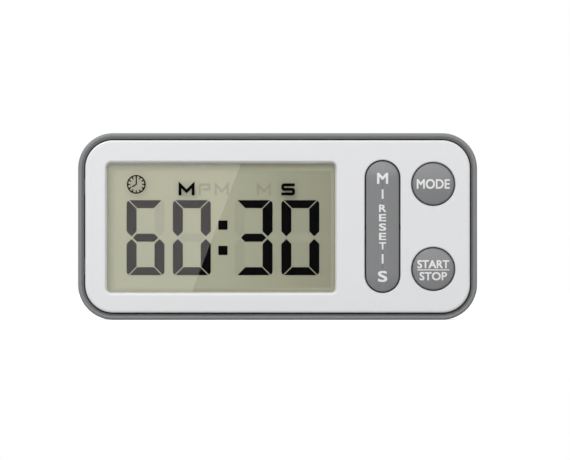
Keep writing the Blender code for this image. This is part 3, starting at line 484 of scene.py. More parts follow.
def moulded_grain_group():
    """Broad tone, uneven gloss and the fine grain of moulded plastic, rubber or paint."""
    tree, entry, leave = new_tree("moulded_grain", "ShaderNodeTree", [
        ("Colour", "NodeSocketColor", (0.5, 0.5, 0.5, 1)),
        ("Tone", "NodeSocketFloat", 0.06),
        ("Roughness", "NodeSocketFloat", 0.5),
        ("Spread", "NodeSocketFloat", 0.08),
        ("Grain scale", "NodeSocketFloat", 2500.0),
    ], [("Colour", "NodeSocketColor"), ("Roughness", "NodeSocketFloat"), ("Height", "NodeSocketFloat")])
    place = own_place(tree)
    broad = noise(tree, place, 45.0, 3.0)
    fine = noise(tree, place, entry.outputs["Grain scale"], 2.0, 0.55)
    blend = maths(tree, "ADD", broad, fine)
    centred = maths(tree, "SUBTRACT", blend, 1.0)
    toned = maths(tree, "MULTIPLY_ADD", centred, entry.outputs["Tone"], 1.0)
    colour = add(tree, "ShaderNodeVectorMath", {0: entry.outputs["Colour"], "Scale": toned},
                 operation="SCALE").outputs["Vector"]
    rough = maths(tree, "MULTIPLY_ADD", centred, entry.outputs["Spread"], entry.outputs["Roughness"],
                  clamp=True)
    close(tree, leave, {"Colour": colour, "Roughness": rough, "Height": fine})
    return tree


def handled_edges_group():
    """Edges that fingers have polished: a little lighter and glossier than the flats."""
    tree, entry, leave = new_tree("handled_edges", "ShaderNodeTree", [
        ("Colour", "NodeSocketColor", (0.5, 0.5, 0.5, 1)),
        ("Roughness", "NodeSocketFloat", 0.5),
        ("Lighter", "NodeSocketFloat", 0.15),
        ("Smoother", "NodeSocketFloat", 0.1),
    ], [("Colour", "NodeSocketColor"), ("Roughness", "NodeSocketFloat")])
    pointed = add(tree, "ShaderNodeNewGeometry").outputs["Pointiness"]
    edge = ramped(tree, pointed, 0.505, 0.56)
    place = own_place(tree)
    broken = noise(tree, place, 260.0, 3.0)
    mask = maths(tree, "MULTIPLY", edge, broken, clamp=True)
    gain = maths(tree, "MULTIPLY_ADD", mask, entry.outputs["Lighter"], 1.0)
    colour = add(tree, "ShaderNodeVectorMath", {0: entry.outputs["Colour"], "Scale": gain},
                 operation="SCALE").outputs["Vector"]
    loss = maths(tree, "MULTIPLY", mask, entry.outputs["Smoother"])
    rough = maths(tree, "SUBTRACT", entry.outputs["Roughness"], loss, clamp=True)
    close(tree, leave, {"Colour": colour, "Roughness": rough})
    return tree


def drawn_metal_group():
    """Fine lines along X and soft blotches, as on rolled strip, wire and plated metal."""
    tree, entry, leave = new_tree("drawn_metal", "ShaderNodeTree", [
        ("Colour", "NodeSocketColor", (0.6, 0.6, 0.6, 1)),
        ("Dark", "NodeSocketColor", (0.4, 0.4, 0.4, 1)),
        ("Roughness", "NodeSocketFloat", 0.25),
        ("Spread", "NodeSocketFloat", 0.15),
        ("Line scale", "NodeSocketFloat", 3000.0),
    ], [("Colour", "NodeSocketColor"), ("Roughness", "NodeSocketFloat"), ("Height", "NodeSocketFloat")])
    place = own_place(tree)
    stretched = add(tree, "ShaderNodeMapping", {"Vector": place, "Scale": (0.04, 1.0, 1.0)}).outputs["Vector"]
    lines = noise(tree, stretched, entry.outputs["Line scale"], 2.0)
    blotches = noise(tree, place, 220.0, 4.0)
    share = maths(tree, "MULTIPLY", lines, blotches)
    share = ramped(tree, share, 0.12, 0.38)
    colour = blended(tree, share, entry.outputs["Dark"], entry.outputs["Colour"])
    rough = maths(tree, "MULTIPLY_ADD", blotches, entry.outputs["Spread"], entry.outputs["Roughness"],
                  clamp=True)
    close(tree, leave, {"Colour": colour, "Roughness": rough, "Height": lines})
    return tree


def group_named(name, maker):
    return bpy.data.node_groups.get(name) or maker()


def new_material(name):
    """An empty material; returns it with its tree and its Principled shader."""
    made = bpy.data.materials.new(name)
    made.use_nodes = True
    tree = made.node_tree
    tree.nodes.clear()
    shader = tree.nodes.new("ShaderNodeBsdfPrincipled")
    output = tree.nodes.new("ShaderNodeOutputMaterial")
    tree.links.new(shader.outputs["BSDF"], output.inputs["Surface"])
    return made, tree, shader


def bump(tree, shader, height, strength, distance):
    made = add(tree, "ShaderNodeBump", {"Height": height, "Strength": strength, "Distance": distance})
    tree.links.new(made.outputs["Normal"], shader.inputs["Normal"])


def plastic(name, colour, roughness, grain=0.25, grain_scale=2500.0, tone=0.05, lighter=0.12, **constants):
    """Moulded plastic, rubber, print or lacquer, with its grain and handled edges."""
    made, tree, shader = new_material(name)
    body = add(tree, "ShaderNodeGroup", {
        "Colour": (*colour, 1), "Tone": tone, "Roughness": roughness, "Grain scale": grain_scale,
    }, node_tree=group_named("moulded_grain", moulded_grain_group))
    edges = add(tree, "ShaderNodeGroup", {
        "Colour": body.outputs["Colour"], "Roughness": body.outputs["Roughness"], "Lighter": lighter,
    }, node_tree=group_named("handled_edges", handled_edges_group))
    close(tree, shader, {"Base Color": edges.outputs["Colour"], "Roughness": edges.outputs["Roughness"]})
    bump(tree, shader, body.outputs["Height"], grain, GRAIN_HEIGHT)
    for label, value in constants.items():
        shader.inputs[label.replace("_", " ")].default_value = value
    return made


def metal(name, colour, dark, roughness, spread=0.15, line_scale=3000.0, strength=0.15):
    """Bare or plated metal."""
    made, tree, shader = new_material(name)
    body = add(tree, "ShaderNodeGroup", {
        "Colour": (*colour, 1), "Dark": (*dark, 1), "Roughness": roughness, "Spread": spread,
        "Line scale": line_scale,
    }, node_tree=group_named("drawn_metal", drawn_metal_group))
    close(tree, shader, {"Base Color": body.outputs["Colour"], "Roughness": body.outputs["Roughness"]})
    shader.inputs["Metallic"].default_value = 1.0
    bump(tree, shader, body.outputs["Height"], strength, LINE_HEIGHT)
    return made


def lens_material():
    """Clear acrylic that lets lamp light through to the display."""
    made, tree, shader = new_material("lens_acrylic")
    shader.inputs["Base Color"].default_value = (0.985, 0.99, 0.975, 1)
    shader.inputs["Transmission Weight"].default_value = 1.0
    shader.inputs["IOR"].default_value = 1.49
    place = own_place(tree)
    smear = noise(tree, place, 90.0, 4.0)
    rough = ramped(tree, smear, 0.45, 0.75, 0.0, 0.012)
    tree.links.new(rough, shader.inputs["Roughness"])
    clear = add(tree, "ShaderNodeBsdfTransparent")
    path = add(tree, "ShaderNodeLightPath").outputs
    lit = maths(tree, "MAXIMUM", path["Is Shadow Ray"], path["Is Diffuse Ray"])
    mixed = add(tree, "ShaderNodeMixShader", {0: lit, 1: shader.outputs["BSDF"], 2: clear.outputs["BSDF"]})
    output = tree.nodes["Material Output"]
    tree.links.new(mixed.outputs["Shader"], output.inputs["Surface"])
    return made


def display_material(colour):
    """The idle display: a grey-green film over a brushed reflector, with painted glare: lighter on the left,
    darker to the right.
    """
    made, tree, shader = new_material("display_film")
    place = own_place(tree)
    brushed = add(tree, "ShaderNodeMapping", {"Vector": place, "Scale": (0.03, 1.0, 1.0)}).outputs["Vector"]
    lines = noise(tree, brushed, 4200.0, 2.0)
    cloud = noise(tree, place, 28.0, 2.0)
    share = maths(tree, "MULTIPLY_ADD", lines, 0.35, cloud)
    share = ramped(tree, share, 0.35, 1.0)
    warm = tuple(channel * factor for channel, factor in zip(colour, (1.05, 1.0, 0.97)))
    cool = tuple(channel * factor for channel, factor in zip(colour, (0.95, 1.0, 0.98)))
    tint = blended(tree, share, (*cool, 1), (*warm, 1))
    # Painted glare: the colour falls from full on the left to 0.70 of it on the right, standing in for the
    # light that the lens mirrors.
    across = add(tree, "ShaderNodeSeparateXYZ", {0: place}).outputs["X"]
    painted_glare_fade = add(tree, "ShaderNodeMapRange", {
        "Value": across, "From Min": -14.0 * MM, "From Max": 15.0 * MM, "To Min": 1.0, "To Max": 0.70})
    glare_painted_tint = add(tree, "ShaderNodeVectorMath", {0: tint, 1: painted_glare_fade.outputs["Result"]}, operation="MULTIPLY")
    tree.links.new(glare_painted_tint.outputs[0], shader.inputs["Base Color"])
    rough = ramped(tree, lines, 0.0, 1.0, 0.42, 0.58)
    tree.links.new(rough, shader.inputs["Roughness"])
    bump(tree, shader, lines, 0.05, 0.00002)
    return made


def shade_ring_material(colour):
    """A border of painted shadow under the lens, darkest at its outer edge, as if the window's walls shaded
    the display.
    """
    made, tree, shader = new_material("border_print")
    share = add(tree, "ShaderNodeAttribute", attribute_name="inward").outputs["Fac"]
    place = own_place(tree)
    cloud = noise(tree, place, 160.0, 2.0)
    share = maths(tree, "MULTIPLY_ADD", cloud, 0.16, share)
    ramp = add(tree, "ShaderNodeValToRGB", {"Fac": share})
    light = tuple(channel * 0.95 for channel in colour)
    dark = tuple(channel * factor for channel, factor in zip(colour, (0.70, 0.69, 0.65)))
    ramp.color_ramp.elements[0].color = (*dark, 1)
    ramp.color_ramp.elements[0].position = 0.08
    ramp.color_ramp.elements[1].color = (*light, 1)
    tree.links.new(ramp.outputs["Color"], shader.inputs["Base Color"])
    shader.inputs["Roughness"].default_value = 0.6
    return made


def cell_material(left, right):
    """A plain printed sleeve: a metal nub and shoulder, a pale band, then dark blue."""
    made, tree, shader = new_material("cell_sleeve")
    place = own_place(tree)
    along = add(tree, "ShaderNodeSeparateXYZ", {0: place}).outputs["X"]
    share = ramped(tree, along, left, right)
    ramp = add(tree, "ShaderNodeValToRGB", {"Fac": share}).color_ramp
    ramp.interpolation = "CONSTANT"
    stops = ((0.0, (0.62, 0.62, 0.63)), (0.032, (0.62, 0.33, 0.12)), (0.24, (0.72, 0.72, 0.70)),
             (0.26, (0.015, 0.02, 0.035)), (0.93, (0.55, 0.55, 0.55)), (0.95, (0.015, 0.02, 0.035)),
             (0.985, (0.55, 0.55, 0.56)))
    while len(ramp.elements) < len(stops):
        ramp.elements.new(1.0)
    for element, (position, colour) in zip(ramp.elements, stops):
        element.position = position
        element.color = (*colour, 1)
    sleeve = ramp.id_data.nodes["Color Ramp"].outputs["Color"]
    body = add(tree, "ShaderNodeGroup", {"Colour": sleeve, "Roughness": 0.3, "Grain scale": 900.0},
               node_tree=group_named("moulded_grain", moulded_grain_group))
    close(tree, shader, {"Base Color": body.outputs["Colour"], "Roughness": body.outputs["Roughness"]})
    ends = maths(tree, "SUBTRACT", share, 0.5)
    ends = maths(tree, "ABSOLUTE", ends)
    bare = maths(tree, "GREATER_THAN", ends, 0.468)
    tree.links.new(bare, shader.inputs["Metallic"])
    bump(tree, shader, body.outputs["Height"], 0.08, LINE_HEIGHT)
    return made


FINISH = {}


def finish(name):
    """The material of that name, made when it is first asked for."""
    if name in FINISH:
        return FINISH[name]
    case = bpy.context.scene.timer_case
    display = bpy.context.scene.timer_display
    keys = bpy.context.scene.timer_keys
    makers = {
        "white_plastic": lambda: plastic("white_shell", case.white, 0.36, 0.16, 2600.0, 0.015, 0.02),
        "grey_plastic": lambda: plastic("grey_shell", case.grey, 0.42, 0.30, 2200.0, 0.06, 0.10),
        "key_plastic": lambda: plastic("grey_key", keys.grey, 0.25, 0.20, 2600.0, 0.04, 0.10),
        "legend_print": lambda: plastic("white_print", (0.82, 0.82, 0.82), 0.5, 0.2, 4000.0, 0.04, 0.0),
        "clear_lens": lens_material,
        "lcd_film": lambda: display_material(display.background),
        # Painted shadow for the border under the lens.
        "border_print": lambda: shade_ring_material(display.background),
        "lcd_segment": lambda: plastic(
            "lit_segment", (0.002, 0.002, 0.0025), 0.45, 0.1, 4000.0, 0.2, 0.0, Specular_IOR_Level=0.0),
        "lcd_ghost": lambda: plastic(
            "idle_segment", tuple(c * 0.85 for c in display.background), 0.5, 0.1, 4000.0, 0.03, 0.0),
        "lcd_ghost_letter": lambda: plastic(
            "idle_letter", tuple(c * 0.72 for c in display.background), 0.5, 0.1, 4000.0, 0.03, 0.0),
        "cell_sleeve": lambda: cell_material(CELL_LOW.x, CELL_HIGH.x),
        "dark_steel": lambda: metal("blackened_steel", (0.05, 0.05, 0.052), (0.03, 0.03, 0.032), 0.4),
        "bright_steel": lambda: metal("bright_steel", (0.66, 0.66, 0.67), (0.48, 0.48, 0.50), 0.18),
        "magnet_plating": lambda: metal(
            "magnet_nickel", (0.63, 0.62, 0.60), (0.50, 0.49, 0.48), 0.14, 0.2, 1400.0),
        "screw_steel": lambda: metal("screw_black_zinc", (0.20, 0.20, 0.21), (0.10, 0.10, 0.11), 0.28),
        "buzzer_brass": lambda: metal("buzzer_brass", (0.74, 0.53, 0.21), (0.55, 0.36, 0.13), 0.25),
        "lcd_glass": lambda: plastic("cell_glass", (0.42, 0.47, 0.40), 0.08, 0.02, 900.0, 0.03, 0.0),
        "lcd_reflector": lambda: metal("display_reflector", (0.55, 0.55, 0.48), (0.46, 0.46, 0.40), 0.4),
        "grey_rubber": lambda: plastic("grey_rubber", (0.33, 0.33, 0.34), 0.68, 0.35, 1600.0, 0.08, 0.05),
        "board_laminate": lambda: plastic(
            "board_laminate", (0.03, 0.17, 0.06), 0.38, 0.25, 1200.0, 0.18, 0.1),
        "black_epoxy": lambda: plastic("black_epoxy", (0.012, 0.012, 0.013), 0.30, 0.2, 700.0, 0.25, 0.1),
        "carbon_rubber": lambda: plastic("carbon_rubber", (0.014, 0.014, 0.014), 0.6, 0.3, 2000.0, 0.2, 0.05),
        "piezo_ceramic": lambda: plastic("piezo_ceramic", (0.72, 0.70, 0.64), 0.55, 0.3, 1800.0, 0.06, 0.0),
        "red_lead": lambda: plastic("red_lead", (0.48, 0.02, 0.02), 0.42, 0.2, 1500.0, 0.1, 0.1),
        "black_lead": lambda: plastic("black_lead", (0.018, 0.018, 0.02), 0.42, 0.2, 1500.0, 0.2, 0.1),
    }
    FINISH[name] = makers[name]()
    return FINISH[name]


# ---------------------------------------------------------------- shells

def window(grow_by=0.0):
    """The window's rounded outline as a hole, seen from the face."""
    case = bpy.context.scene.timer_case
    width = LENS_HIGH.x - LENS_LOW.x + 2 * FIT_GAP
    height = LENS_HIGH.z - LENS_LOW.z + 2 * FIT_GAP
    place = (WINDOW_X + 0.08 * MM, MIDDLE_Z - case.window_drop)
    return growing(width + 0.15 * MM + 2 * grow_by, height + 2 * grow_by, case.window_radius, place, 8)


def pill(grow_by=0.0):
    """The rocking key's outline, as a function of how far it is drawn in."""
    width = PILL_HIGH.x - PILL_LOW.x + 2 * grow_by
    height = PILL_HIGH.z - PILL_LOW.z + 2 * grow_by

    def outline(inset):
        radius = max(width / 2 - inset, 2e-5)
        return rounded(2 * radius, height - 2 * inset, radius, PILL_PLACE)
    return outline


def front_shell():
    """The white face with its skirt, window ledge, key holes, bosses and pin ears."""
    case = bpy.context.scene.timer_case
    keys = bpy.context.scene.timer_keys
    skin = Skin()
    radius = case.corner_radius - FACE_INSET
    outer = shrinking(FACE_WIDTH, FACE_HEIGHT, radius, (0, MIDDLE_Z))
    inner_y = FACE_Y + FACE_THICKNESS
    skirt_y = FACE_Y + SKIRT_DEPTH
    rim = skin.edge_rings(outer, case.face_fillet, FACE_Y, 1)
    skirt = [skin.ring(outer(0), skirt_y - 0.2 * MM), skin.ring(outer(0.2 * MM), skirt_y)]
    skirt_inner = [skin.ring(outer(SKIRT_WALL), skirt_y), skin.ring(outer(SKIRT_WALL), inner_y)]
    skin.band(rim[::-1] + skirt)
    skin.region([skirt[-1], skirt_inner[0]])
    skin.band(skirt_inner)
    fronts = [rim[-1]]
    backs = [skirt_inner[-1]]
    key_radius = keys.round_diameter / 2 + FIT_GAP
    holes = [growing_circle(key_radius, MODE_PLACE), growing_circle(key_radius, START_PLACE)]
    pill_hole = pill(FIT_GAP)
    holes.append(lambda grown: pill_hole(-grown))
    for hole in holes:
        rings = skin.edge_rings(hole, case.hole_fillet, FACE_Y, 1)
        back = skin.ring(hole(0), inner_y)
        skin.band(rings[::-1] + [back])
        fronts.append(rings[-1])
        backs.append(back)
    opening = window()
    rings = skin.edge_rings(opening, case.window_fillet, FACE_Y, 1)
    ledge_y = FACE_Y + LEDGE_DEPTH
    ledge = [skin.ring(opening(0), ledge_y), skin.ring(opening(-LENS_LEDGE), ledge_y)]
    back = skin.ring(opening(-LENS_LEDGE), inner_y)
    skin.band(rings[::-1] + ledge[:1])
    skin.region(ledge)
    skin.band([ledge[1], back])
    fronts.append(rings[-1])
    backs.append(back)
    skin.region(fronts)
    skin.region(backs)
    for name in SCREWS:
        place = spot(name)
        skin.turned(place, [(inner_y - 0.1 * MM, 2.2 * MM), (FACE_Y + 6.4 * MM, 2.2 * MM),
                            (FACE_Y + 6.7 * MM, 1.9 * MM)], 32)
    low, high = node_box("rocker_pin")
    for side in (1, -1):
        inside = PILL_PLACE[0] + side * ((PILL_HIGH.x - PILL_LOW.x) / 2 + 0.55 * MM)
        edges = sorted((inside, inside + side * 1.2 * MM))
        ears = ((MIDDLE_Z - 2.4 * MM, low.z - 0.2 * MM), (high.z + 0.2 * MM, MIDDLE_Z + 2.4 * MM))
        for lower, upper in ears:
            skin.box((edges[0], inner_y - 0.1 * MM, lower), (edges[1], high.y + 0.3 * MM, upper))
    for side in (1, -1):
        centre = MIDDLE_Z + side * 10.0 * MM
        skin.box((min(SHELL_LOW.x, -FACE_WIDTH / 2 - 0.25 * MM), skirt_y - 1.5 * MM, centre - 2.0 * MM),
                 (-FACE_WIDTH / 2 + 0.7 * MM, skirt_y - 0.5 * MM, centre + 2.0 * MM))
    piece = skin.piece("face_moulding", finish("white_plastic"))
    settle(piece, "case", "white_plastic", "front_shell")
    return piece


def rectangle(low, high, outset=0.0):
    """Four corners of a square-cornered opening, as (x, z)."""
    return [(high[0] + outset, high[1] + outset), (low[0] - outset, high[1] + outset),
            (low[0] - outset, low[1] - outset), (high[0] + outset, low[1] - outset)]


def opening_rings(skin, outline, fillet, y):
    """The filleted edge of an opening in the back, from the flat down to the wall."""
    return [skin.ring(outline(inset), y - fillet + rise) for inset, rise in quarter(fillet)][::-1]


def square_opening(skin, low, high, fillet, y):
    return opening_rings(skin, lambda grown: rectangle(low, high, grown), fillet, y)


def stand_recess(skin, plate_y):
    """The two-level pan for the folded stand, with its pin bores; returns its ring in the back."""
    low = (STAND_LOW.x + STAND_PIN_REACH - FIT_GAP, STAND_LOW.z - FIT_GAP)
    high = (STAND_HIGH.x - STAND_PIN_REACH + FIT_GAP, STAND_HIGH.z + FIT_GAP)
    step_z = high[1] - 2 * (STAND_BARREL_RADIUS + FIT_GAP)
    floor = BACK_Y - STAND_THICKNESS - FIT_GAP
    deep = BACK_Y - STAND_AXIS_DEPTH - STAND_BARREL_RADIUS - FIT_GAP
    rings = square_opening(skin, low, high, 0.25 * MM, BACK_Y)
    skin.band(rings)
    high_right, high_left, low_left, low_right = rings[-1]
    new = skin.mesh.verts.new
    deep_high = [new((x, deep, high[1])) for x in (low[0], high[0])]
    deep_step = [new((x, deep, step_z)) for x in (low[0], high[0])]
    floor_step = [new((x, floor, step_z)) for x in (low[0], high[0])]
    floor_low = [new((x, floor, low[1])) for x in (low[0], high[0])]
    skin.region([[high_left, high_right, deep_high[1], deep_high[0]]])
    skin.region([[low_left, low_right, floor_low[1], floor_low[0]]])
    skin.region([[floor_low[0], floor_low[1], floor_step[1], floor_step[0]]])
    skin.region([[floor_step[0], floor_step[1], deep_step[1], deep_step[0]]])
    skin.region([[deep_step[0], deep_step[1], deep_high[1], deep_high[0]]])
    axis_y = BACK_Y - STAND_AXIS_DEPTH
    axis_z = STAND_HIGH.z - STAND_BARREL_RADIUS
    for index, (top, bottom, sign) in enumerate(((high_left, low_left, -1), (high_right, low_right, 1))):
        wall = [top, deep_high[index], deep_step[index], floor_step[index], floor_low[index], bottom]
        x = top.co.x
        bore = []
        for depth in (0.0, STAND_PIN_REACH + 0.1 * MM):
            points = circle(STAND_PIN_RADIUS + FIT_GAP, (axis_y, axis_z), 32)
            bore.append(skin.cross_ring(x + sign * depth, points))
        skin.region([wall, bore[0]])
        skin.band(bore)
        skin.region([bore[1]])
    pan_low = (low[0] - 1.4 * MM, low[1] - 1.2 * MM)
    pan_high = (high[0] + 1.4 * MM, high[1] + 0.5 * MM)
    inside = [skin.ring(rectangle(pan_low, pan_high), y) for y in (plate_y, deep - 1.2 * MM)]
    skin.band(inside)
    skin.region([inside[1]])
    return rings[0], inside[0]


def cell_bay(skin, plate_y):
    """The opening for the door and the bay for the cell under it."""
    low = (DOOR_LOW.x - FIT_GAP, DOOR_LOW.z - FIT_GAP)
    high = (DOOR_HIGH.x + FIT_GAP, DOOR_HIGH.z + FIT_GAP)
    ledge_y = DOOR_LOW.y - FIT_GAP
    rings = square_opening(skin, low, high, 0.2 * MM, BACK_Y)
    ledge = skin.ring(rectangle(low, high), ledge_y)
    skin.band(rings + [ledge])
    bay_low = (low[0] + DOOR_LEDGE, low[1] + DOOR_LEDGE)
    bay_high = (high[0] - DOOR_LEDGE, high[1] - DOOR_LEDGE)
    edge = square_opening(skin, bay_low, bay_high, 0.15 * MM, ledge_y)
    skin.region([ledge, edge[0]])
    floor_y = CELL_LOW.y - FIT_GAP
    floor = skin.ring(rectangle(bay_low, bay_high), floor_y)
    skin.band(edge + [floor])
    skin.region([floor])
    tub_low = (bay_low[0] - 1.0 * MM, bay_low[1] - 0.8 * MM)
    tub_high = (bay_high[0] + 1.0 * MM, bay_high[1] + 1.0 * MM)
    inside = [skin.ring(rectangle(tub_low, tub_high), y) for y in (plate_y, floor_y - 0.8 * MM)]
    skin.band(inside)
    skin.region([inside[1]])
    centre_z = (CELL_LOW.z + CELL_HIGH.z) / 2
    radius = (CELL_HIGH.z - CELL_LOW.z) / 2
    axis_y = (CELL_LOW.y + CELL_HIGH.y) / 2
    for share in (0.22, 0.78):
        x = CELL_LOW.x + share * (CELL_HIGH.x - CELL_LOW.x)
        cradle(skin, x, axis_y, centre_z, radius + 0.12 * MM, floor_y, bay_low[1], bay_high[1])
    return rings[0], inside[0]


def cradle(skin, x, axis_y, centre_z, radius, floor_y, low_z, high_z):
    """A rib across the bay, hollowed to the cell's round."""
    steps = 20
    reach = math.radians(62)
    arc = [(axis_y - radius * math.cos(angle), centre_z + radius * math.sin(angle))
           for angle in (reach - 2 * reach * step / steps for step in range(steps + 1))]
    outline = [(floor_y - 0.05 * MM, low_z - 0.05 * MM), (floor_y - 0.05 * MM, high_z + 0.05 * MM),
               (arc[0][0], high_z + 0.05 * MM)] + arc + [(arc[-1][0], low_z - 0.05 * MM)]
    sides = [skin.cross_ring(x + offset, outline) for offset in (-0.5 * MM, 0.5 * MM)]
    skin.band(sides)
    skin.region([sides[0]])
    skin.region([sides[1]])


def screw_well(skin, name, plate_y):
    """A counterbore from the back, its shank hole, and the post round it inside."""
    place = spot(name)
    head = 2.2 * MM
    shoulder_y = FACE_Y + SCREW_SHOULDER
    post_y = FACE_Y + POST_FRONT
    shank = SHANK_RADIUS + FIT_GAP
    edge = opening_rings(skin, growing_circle(head, place, 40), 0.25 * MM, BACK_Y)
    profile = [(shoulder_y + 0.1 * MM, head), (shoulder_y, head - 0.1 * MM), (shoulder_y, shank + 0.1 * MM),
               (shoulder_y - 0.1 * MM, shank), (post_y, shank), (post_y, head + 0.35 * MM),
               (plate_y, head + 0.35 * MM)]
    rings = [skin.ring(circle(radius, place, 40), y) for y, radius in profile]
    skin.band(edge + rings)
    return edge[0], rings[-1]


def magnet_pocket(skin, name, plate_y):
    place = spot(name)
    low, high = node_box(name)
    radius = (high.x - low.x) / 2 + FIT_GAP
    edge = opening_rings(skin, growing_circle(radius, place), 0.25 * MM, BACK_Y)
    floor = skin.ring(circle(radius, place), low.y - FIT_GAP)
    skin.band(edge + [floor])
    skin.region([floor])
    inside = [skin.ring(circle(radius + 0.8 * MM, place), y) for y in (plate_y, low.y - FIT_GAP - 1.4 * MM)]
    skin.band(inside)
    skin.region([inside[1]])
    return edge[0], inside[0]


def rear_case():
    """The grey tray: rim, sides, back with its openings, and the tubs behind them."""
    case = bpy.context.scene.timer_case
    skin = Skin()
    width = CASE_HIGH.x - CASE_LOW.x
    height = CASE_HIGH.z - CASE_LOW.z
    outer = shrinking(width, height, case.corner_radius, (0, MIDDLE_Z))
    plate_y = BACK_Y - BACK_WALL
    rim_y = CASE_LOW.y
    edge = 0.5 * MM
    chamfer = case.rim_chamfer
    slope = 1.1 * chamfer
    mouth = []
    for drawn, depth in ((0.0, slope), (0.86 * chamfer, 0.14 * slope), (0.94 * chamfer, 0.03 * slope),
                         (chamfer + 0.04 * MM, 0.0)):
        mouth.append(skin.ring(outer(CASE_WALL - drawn), rim_y + depth))
    rounding = [skin.ring(outer(inset), rim_y + edge - rise) for inset, rise in quarter(edge)][::-1]
    back_edge = [skin.ring(outer(inset), BACK_Y - case.back_radius + rise)
                 for inset, rise in quarter(case.back_radius, 10)]
    skin.band(mouth + rounding + back_edge)
    inner = skin.ring(outer(CASE_WALL), plate_y)
    skin.band([mouth[0], inner])
    backs = [back_edge[-1]]
    insides = [inner]
    for make, names in ((screw_well, SCREWS), (magnet_pocket, MAGNETS)):
        for name in names:
            outside, inside = make(skin, name, plate_y)
            backs.append(outside)
            insides.append(inside)
    for make in (stand_recess, cell_bay):
        outside, inside = make(skin, plate_y)
        backs.append(outside)
        insides.append(inside)
    for place in sound_hole_places():
        hole = opening_rings(skin, growing_circle(SOUND_HOLE_RADIUS, place, 28), 0.2 * MM, BACK_Y)
        hole.append(skin.ring(circle(SOUND_HOLE_RADIUS, place, 28), plate_y))
        skin.band(hole)
        backs.append(hole[0])
        insides.append(hole[-1])
    skin.region(backs)
    skin.region(insides)
    low, high = node_box("buzzer_disc")
    radius = (high.x - low.x) / 2
    place = spot("buzzer_disc")
    seat_y = high.y + 0.2 * MM
    collar = [(plate_y + 0.05 * MM, radius + 1.3 * MM), (low.y - 0.4 * MM, radius + 1.3 * MM),
              (low.y - 0.4 * MM, radius + FIT_GAP), (seat_y, radius + FIT_GAP), (seat_y, radius - 1.0 * MM),
              (plate_y + 0.05 * MM, radius - 1.0 * MM)]
    rings = [skin.ring(circle(r, place), y) for y, r in collar]
    skin.band(rings + rings[:1])
    piece = skin.piece("case_moulding", finish("grey_plastic"))
    settle(piece, "case", "grey_plastic", "rear_case")
    return piece


def sound_hole_places():
    """The middle hole and the six round it."""
    centre = spot("buzzer_disc")
    return [centre] + circle(SOUND_HOLE_PITCH, centre, 6)


# ---------------------------------------------------------------- display

def lens():
    """The clear window with its softened edge."""
    skin = Skin()
    outline = window(-FIT_GAP)

    def drawn_in(inset):
        return outline(-inset)
    skin.slab([(drawn_in, 0.15 * MM)], LENS_LOW.y, LENS_HIGH.y, 0.1 * MM)
    piece = skin.piece("window_lens", finish("clear_lens"))
    settle(piece, "case", "clear_lens", "display_lens")


def clip(points, normal, limit):
    """The part of a convex outline where its dot product with normal is at most limit."""
    kept = []
    for (ax, az), (bx, bz) in zip(points, points[1:] + points[:1]):
        a = ax * normal[0] + az * normal[1] - limit
        b = bx * normal[0] + bz * normal[1] - limit
        if a <= 0:
            kept.append((ax, az))
        if (a < 0) != (b < 0) and a != b:
            share = a / (a - b)
            kept.append((ax + (bx - ax) * share, az + (bz - az) * share))
    return kept


def segment_outlines(centre):
    """The seven segments of one digit: top, middle, bottom, then the four uprights."""
    display = bpy.context.scene.timer_display
    half_w = display.digit_width / 2
    half_h = display.digit_height / 2
    upright = display.upright
    level = display.level
    gap = 0.18 * MM
    tip = 0.33 * MM
    whole = rounded(2 * half_w, 2 * half_h, 1.0 * MM, (0, 0), 6)
    corner = half_w - upright + half_h - level
    tip_x = half_w - upright / 2
    top = clip(whole, (0, -1), -(half_h - level))
    top = clip(clip(top, (1, -1), -(corner + gap) + 2 * (half_w - upright)), (-1, -1),
               -(corner + gap) + 2 * (half_w - upright))
    bar = rectangle((-half_w, -level / 2), (half_w, level / 2))
    for normal in ((1, 1), (1, -1), (-1, 1), (-1, -1)):
        bar = clip(bar, normal, tip_x - tip)
    side = clip(whole, (-1, 0), -(half_w - upright))
    side = clip(side, (-1, 1), -(half_w - upright) + (half_h - level) - gap)
    side = clip(clip(side, (-1, -1), -tip_x - tip), (1, -1), tip_x - tip)
    shapes = [top, bar, [(x, -z) for x, z in top]]
    for sign_x in (1, -1):
        for sign_z in (1, -1):
            shapes.append([(sign_x * x, sign_z * z) for x, z in side])
    return [[(centre[0] + x, centre[1] + z) for x, z in shape] for shape in shapes]


DIGIT_PLACES = (-33.1 * MM, -21.5 * MM, -6.0 * MM, 5.7 * MM)
DIGIT_DROP = 2.8 * MM
COLON_X = -13.7 * MM
COLON_DOT = 2.3 * MM
COLON_HEIGHTS = (0.36 * MM, -6.0 * MM)
LABEL_RISE = 9.3 * MM
LABEL_HEIGHT = 3.0 * MM
LABEL_STROKE = 0.72 * MM
IDLE_STROKE = 0.6 * MM
# letter, width and place across
LABELS = (("M", 4.0 * MM, -22.8 * MM), ("S", 3.4 * MM, 2.65 * MM))
IDLE_LABELS = (("P", 3.0 * MM, -18.3 * MM), ("M", 3.6 * MM, -14.0 * MM), ("M", 3.6 * MM, -3.4 * MM))
CLOCK_PLACE = (-35.4 * MM, 10.55 * MM)
CLOCK_LINE = 0.32 * MM
LIT = {
    "0": (0, 2, 3, 4, 5, 6), "1": (3, 4), "2": (0, 1, 2, 3, 6), "3": (0, 1, 2, 3, 4), "4": (1, 3, 4, 5),
    "5": (0, 1, 2, 4, 5), "6": (0, 1, 2, 4, 5, 6), "7": (0, 3, 4), "8": (0, 1, 2, 3, 4, 5, 6),
    "9": (0, 1, 2, 3, 4, 5),
}


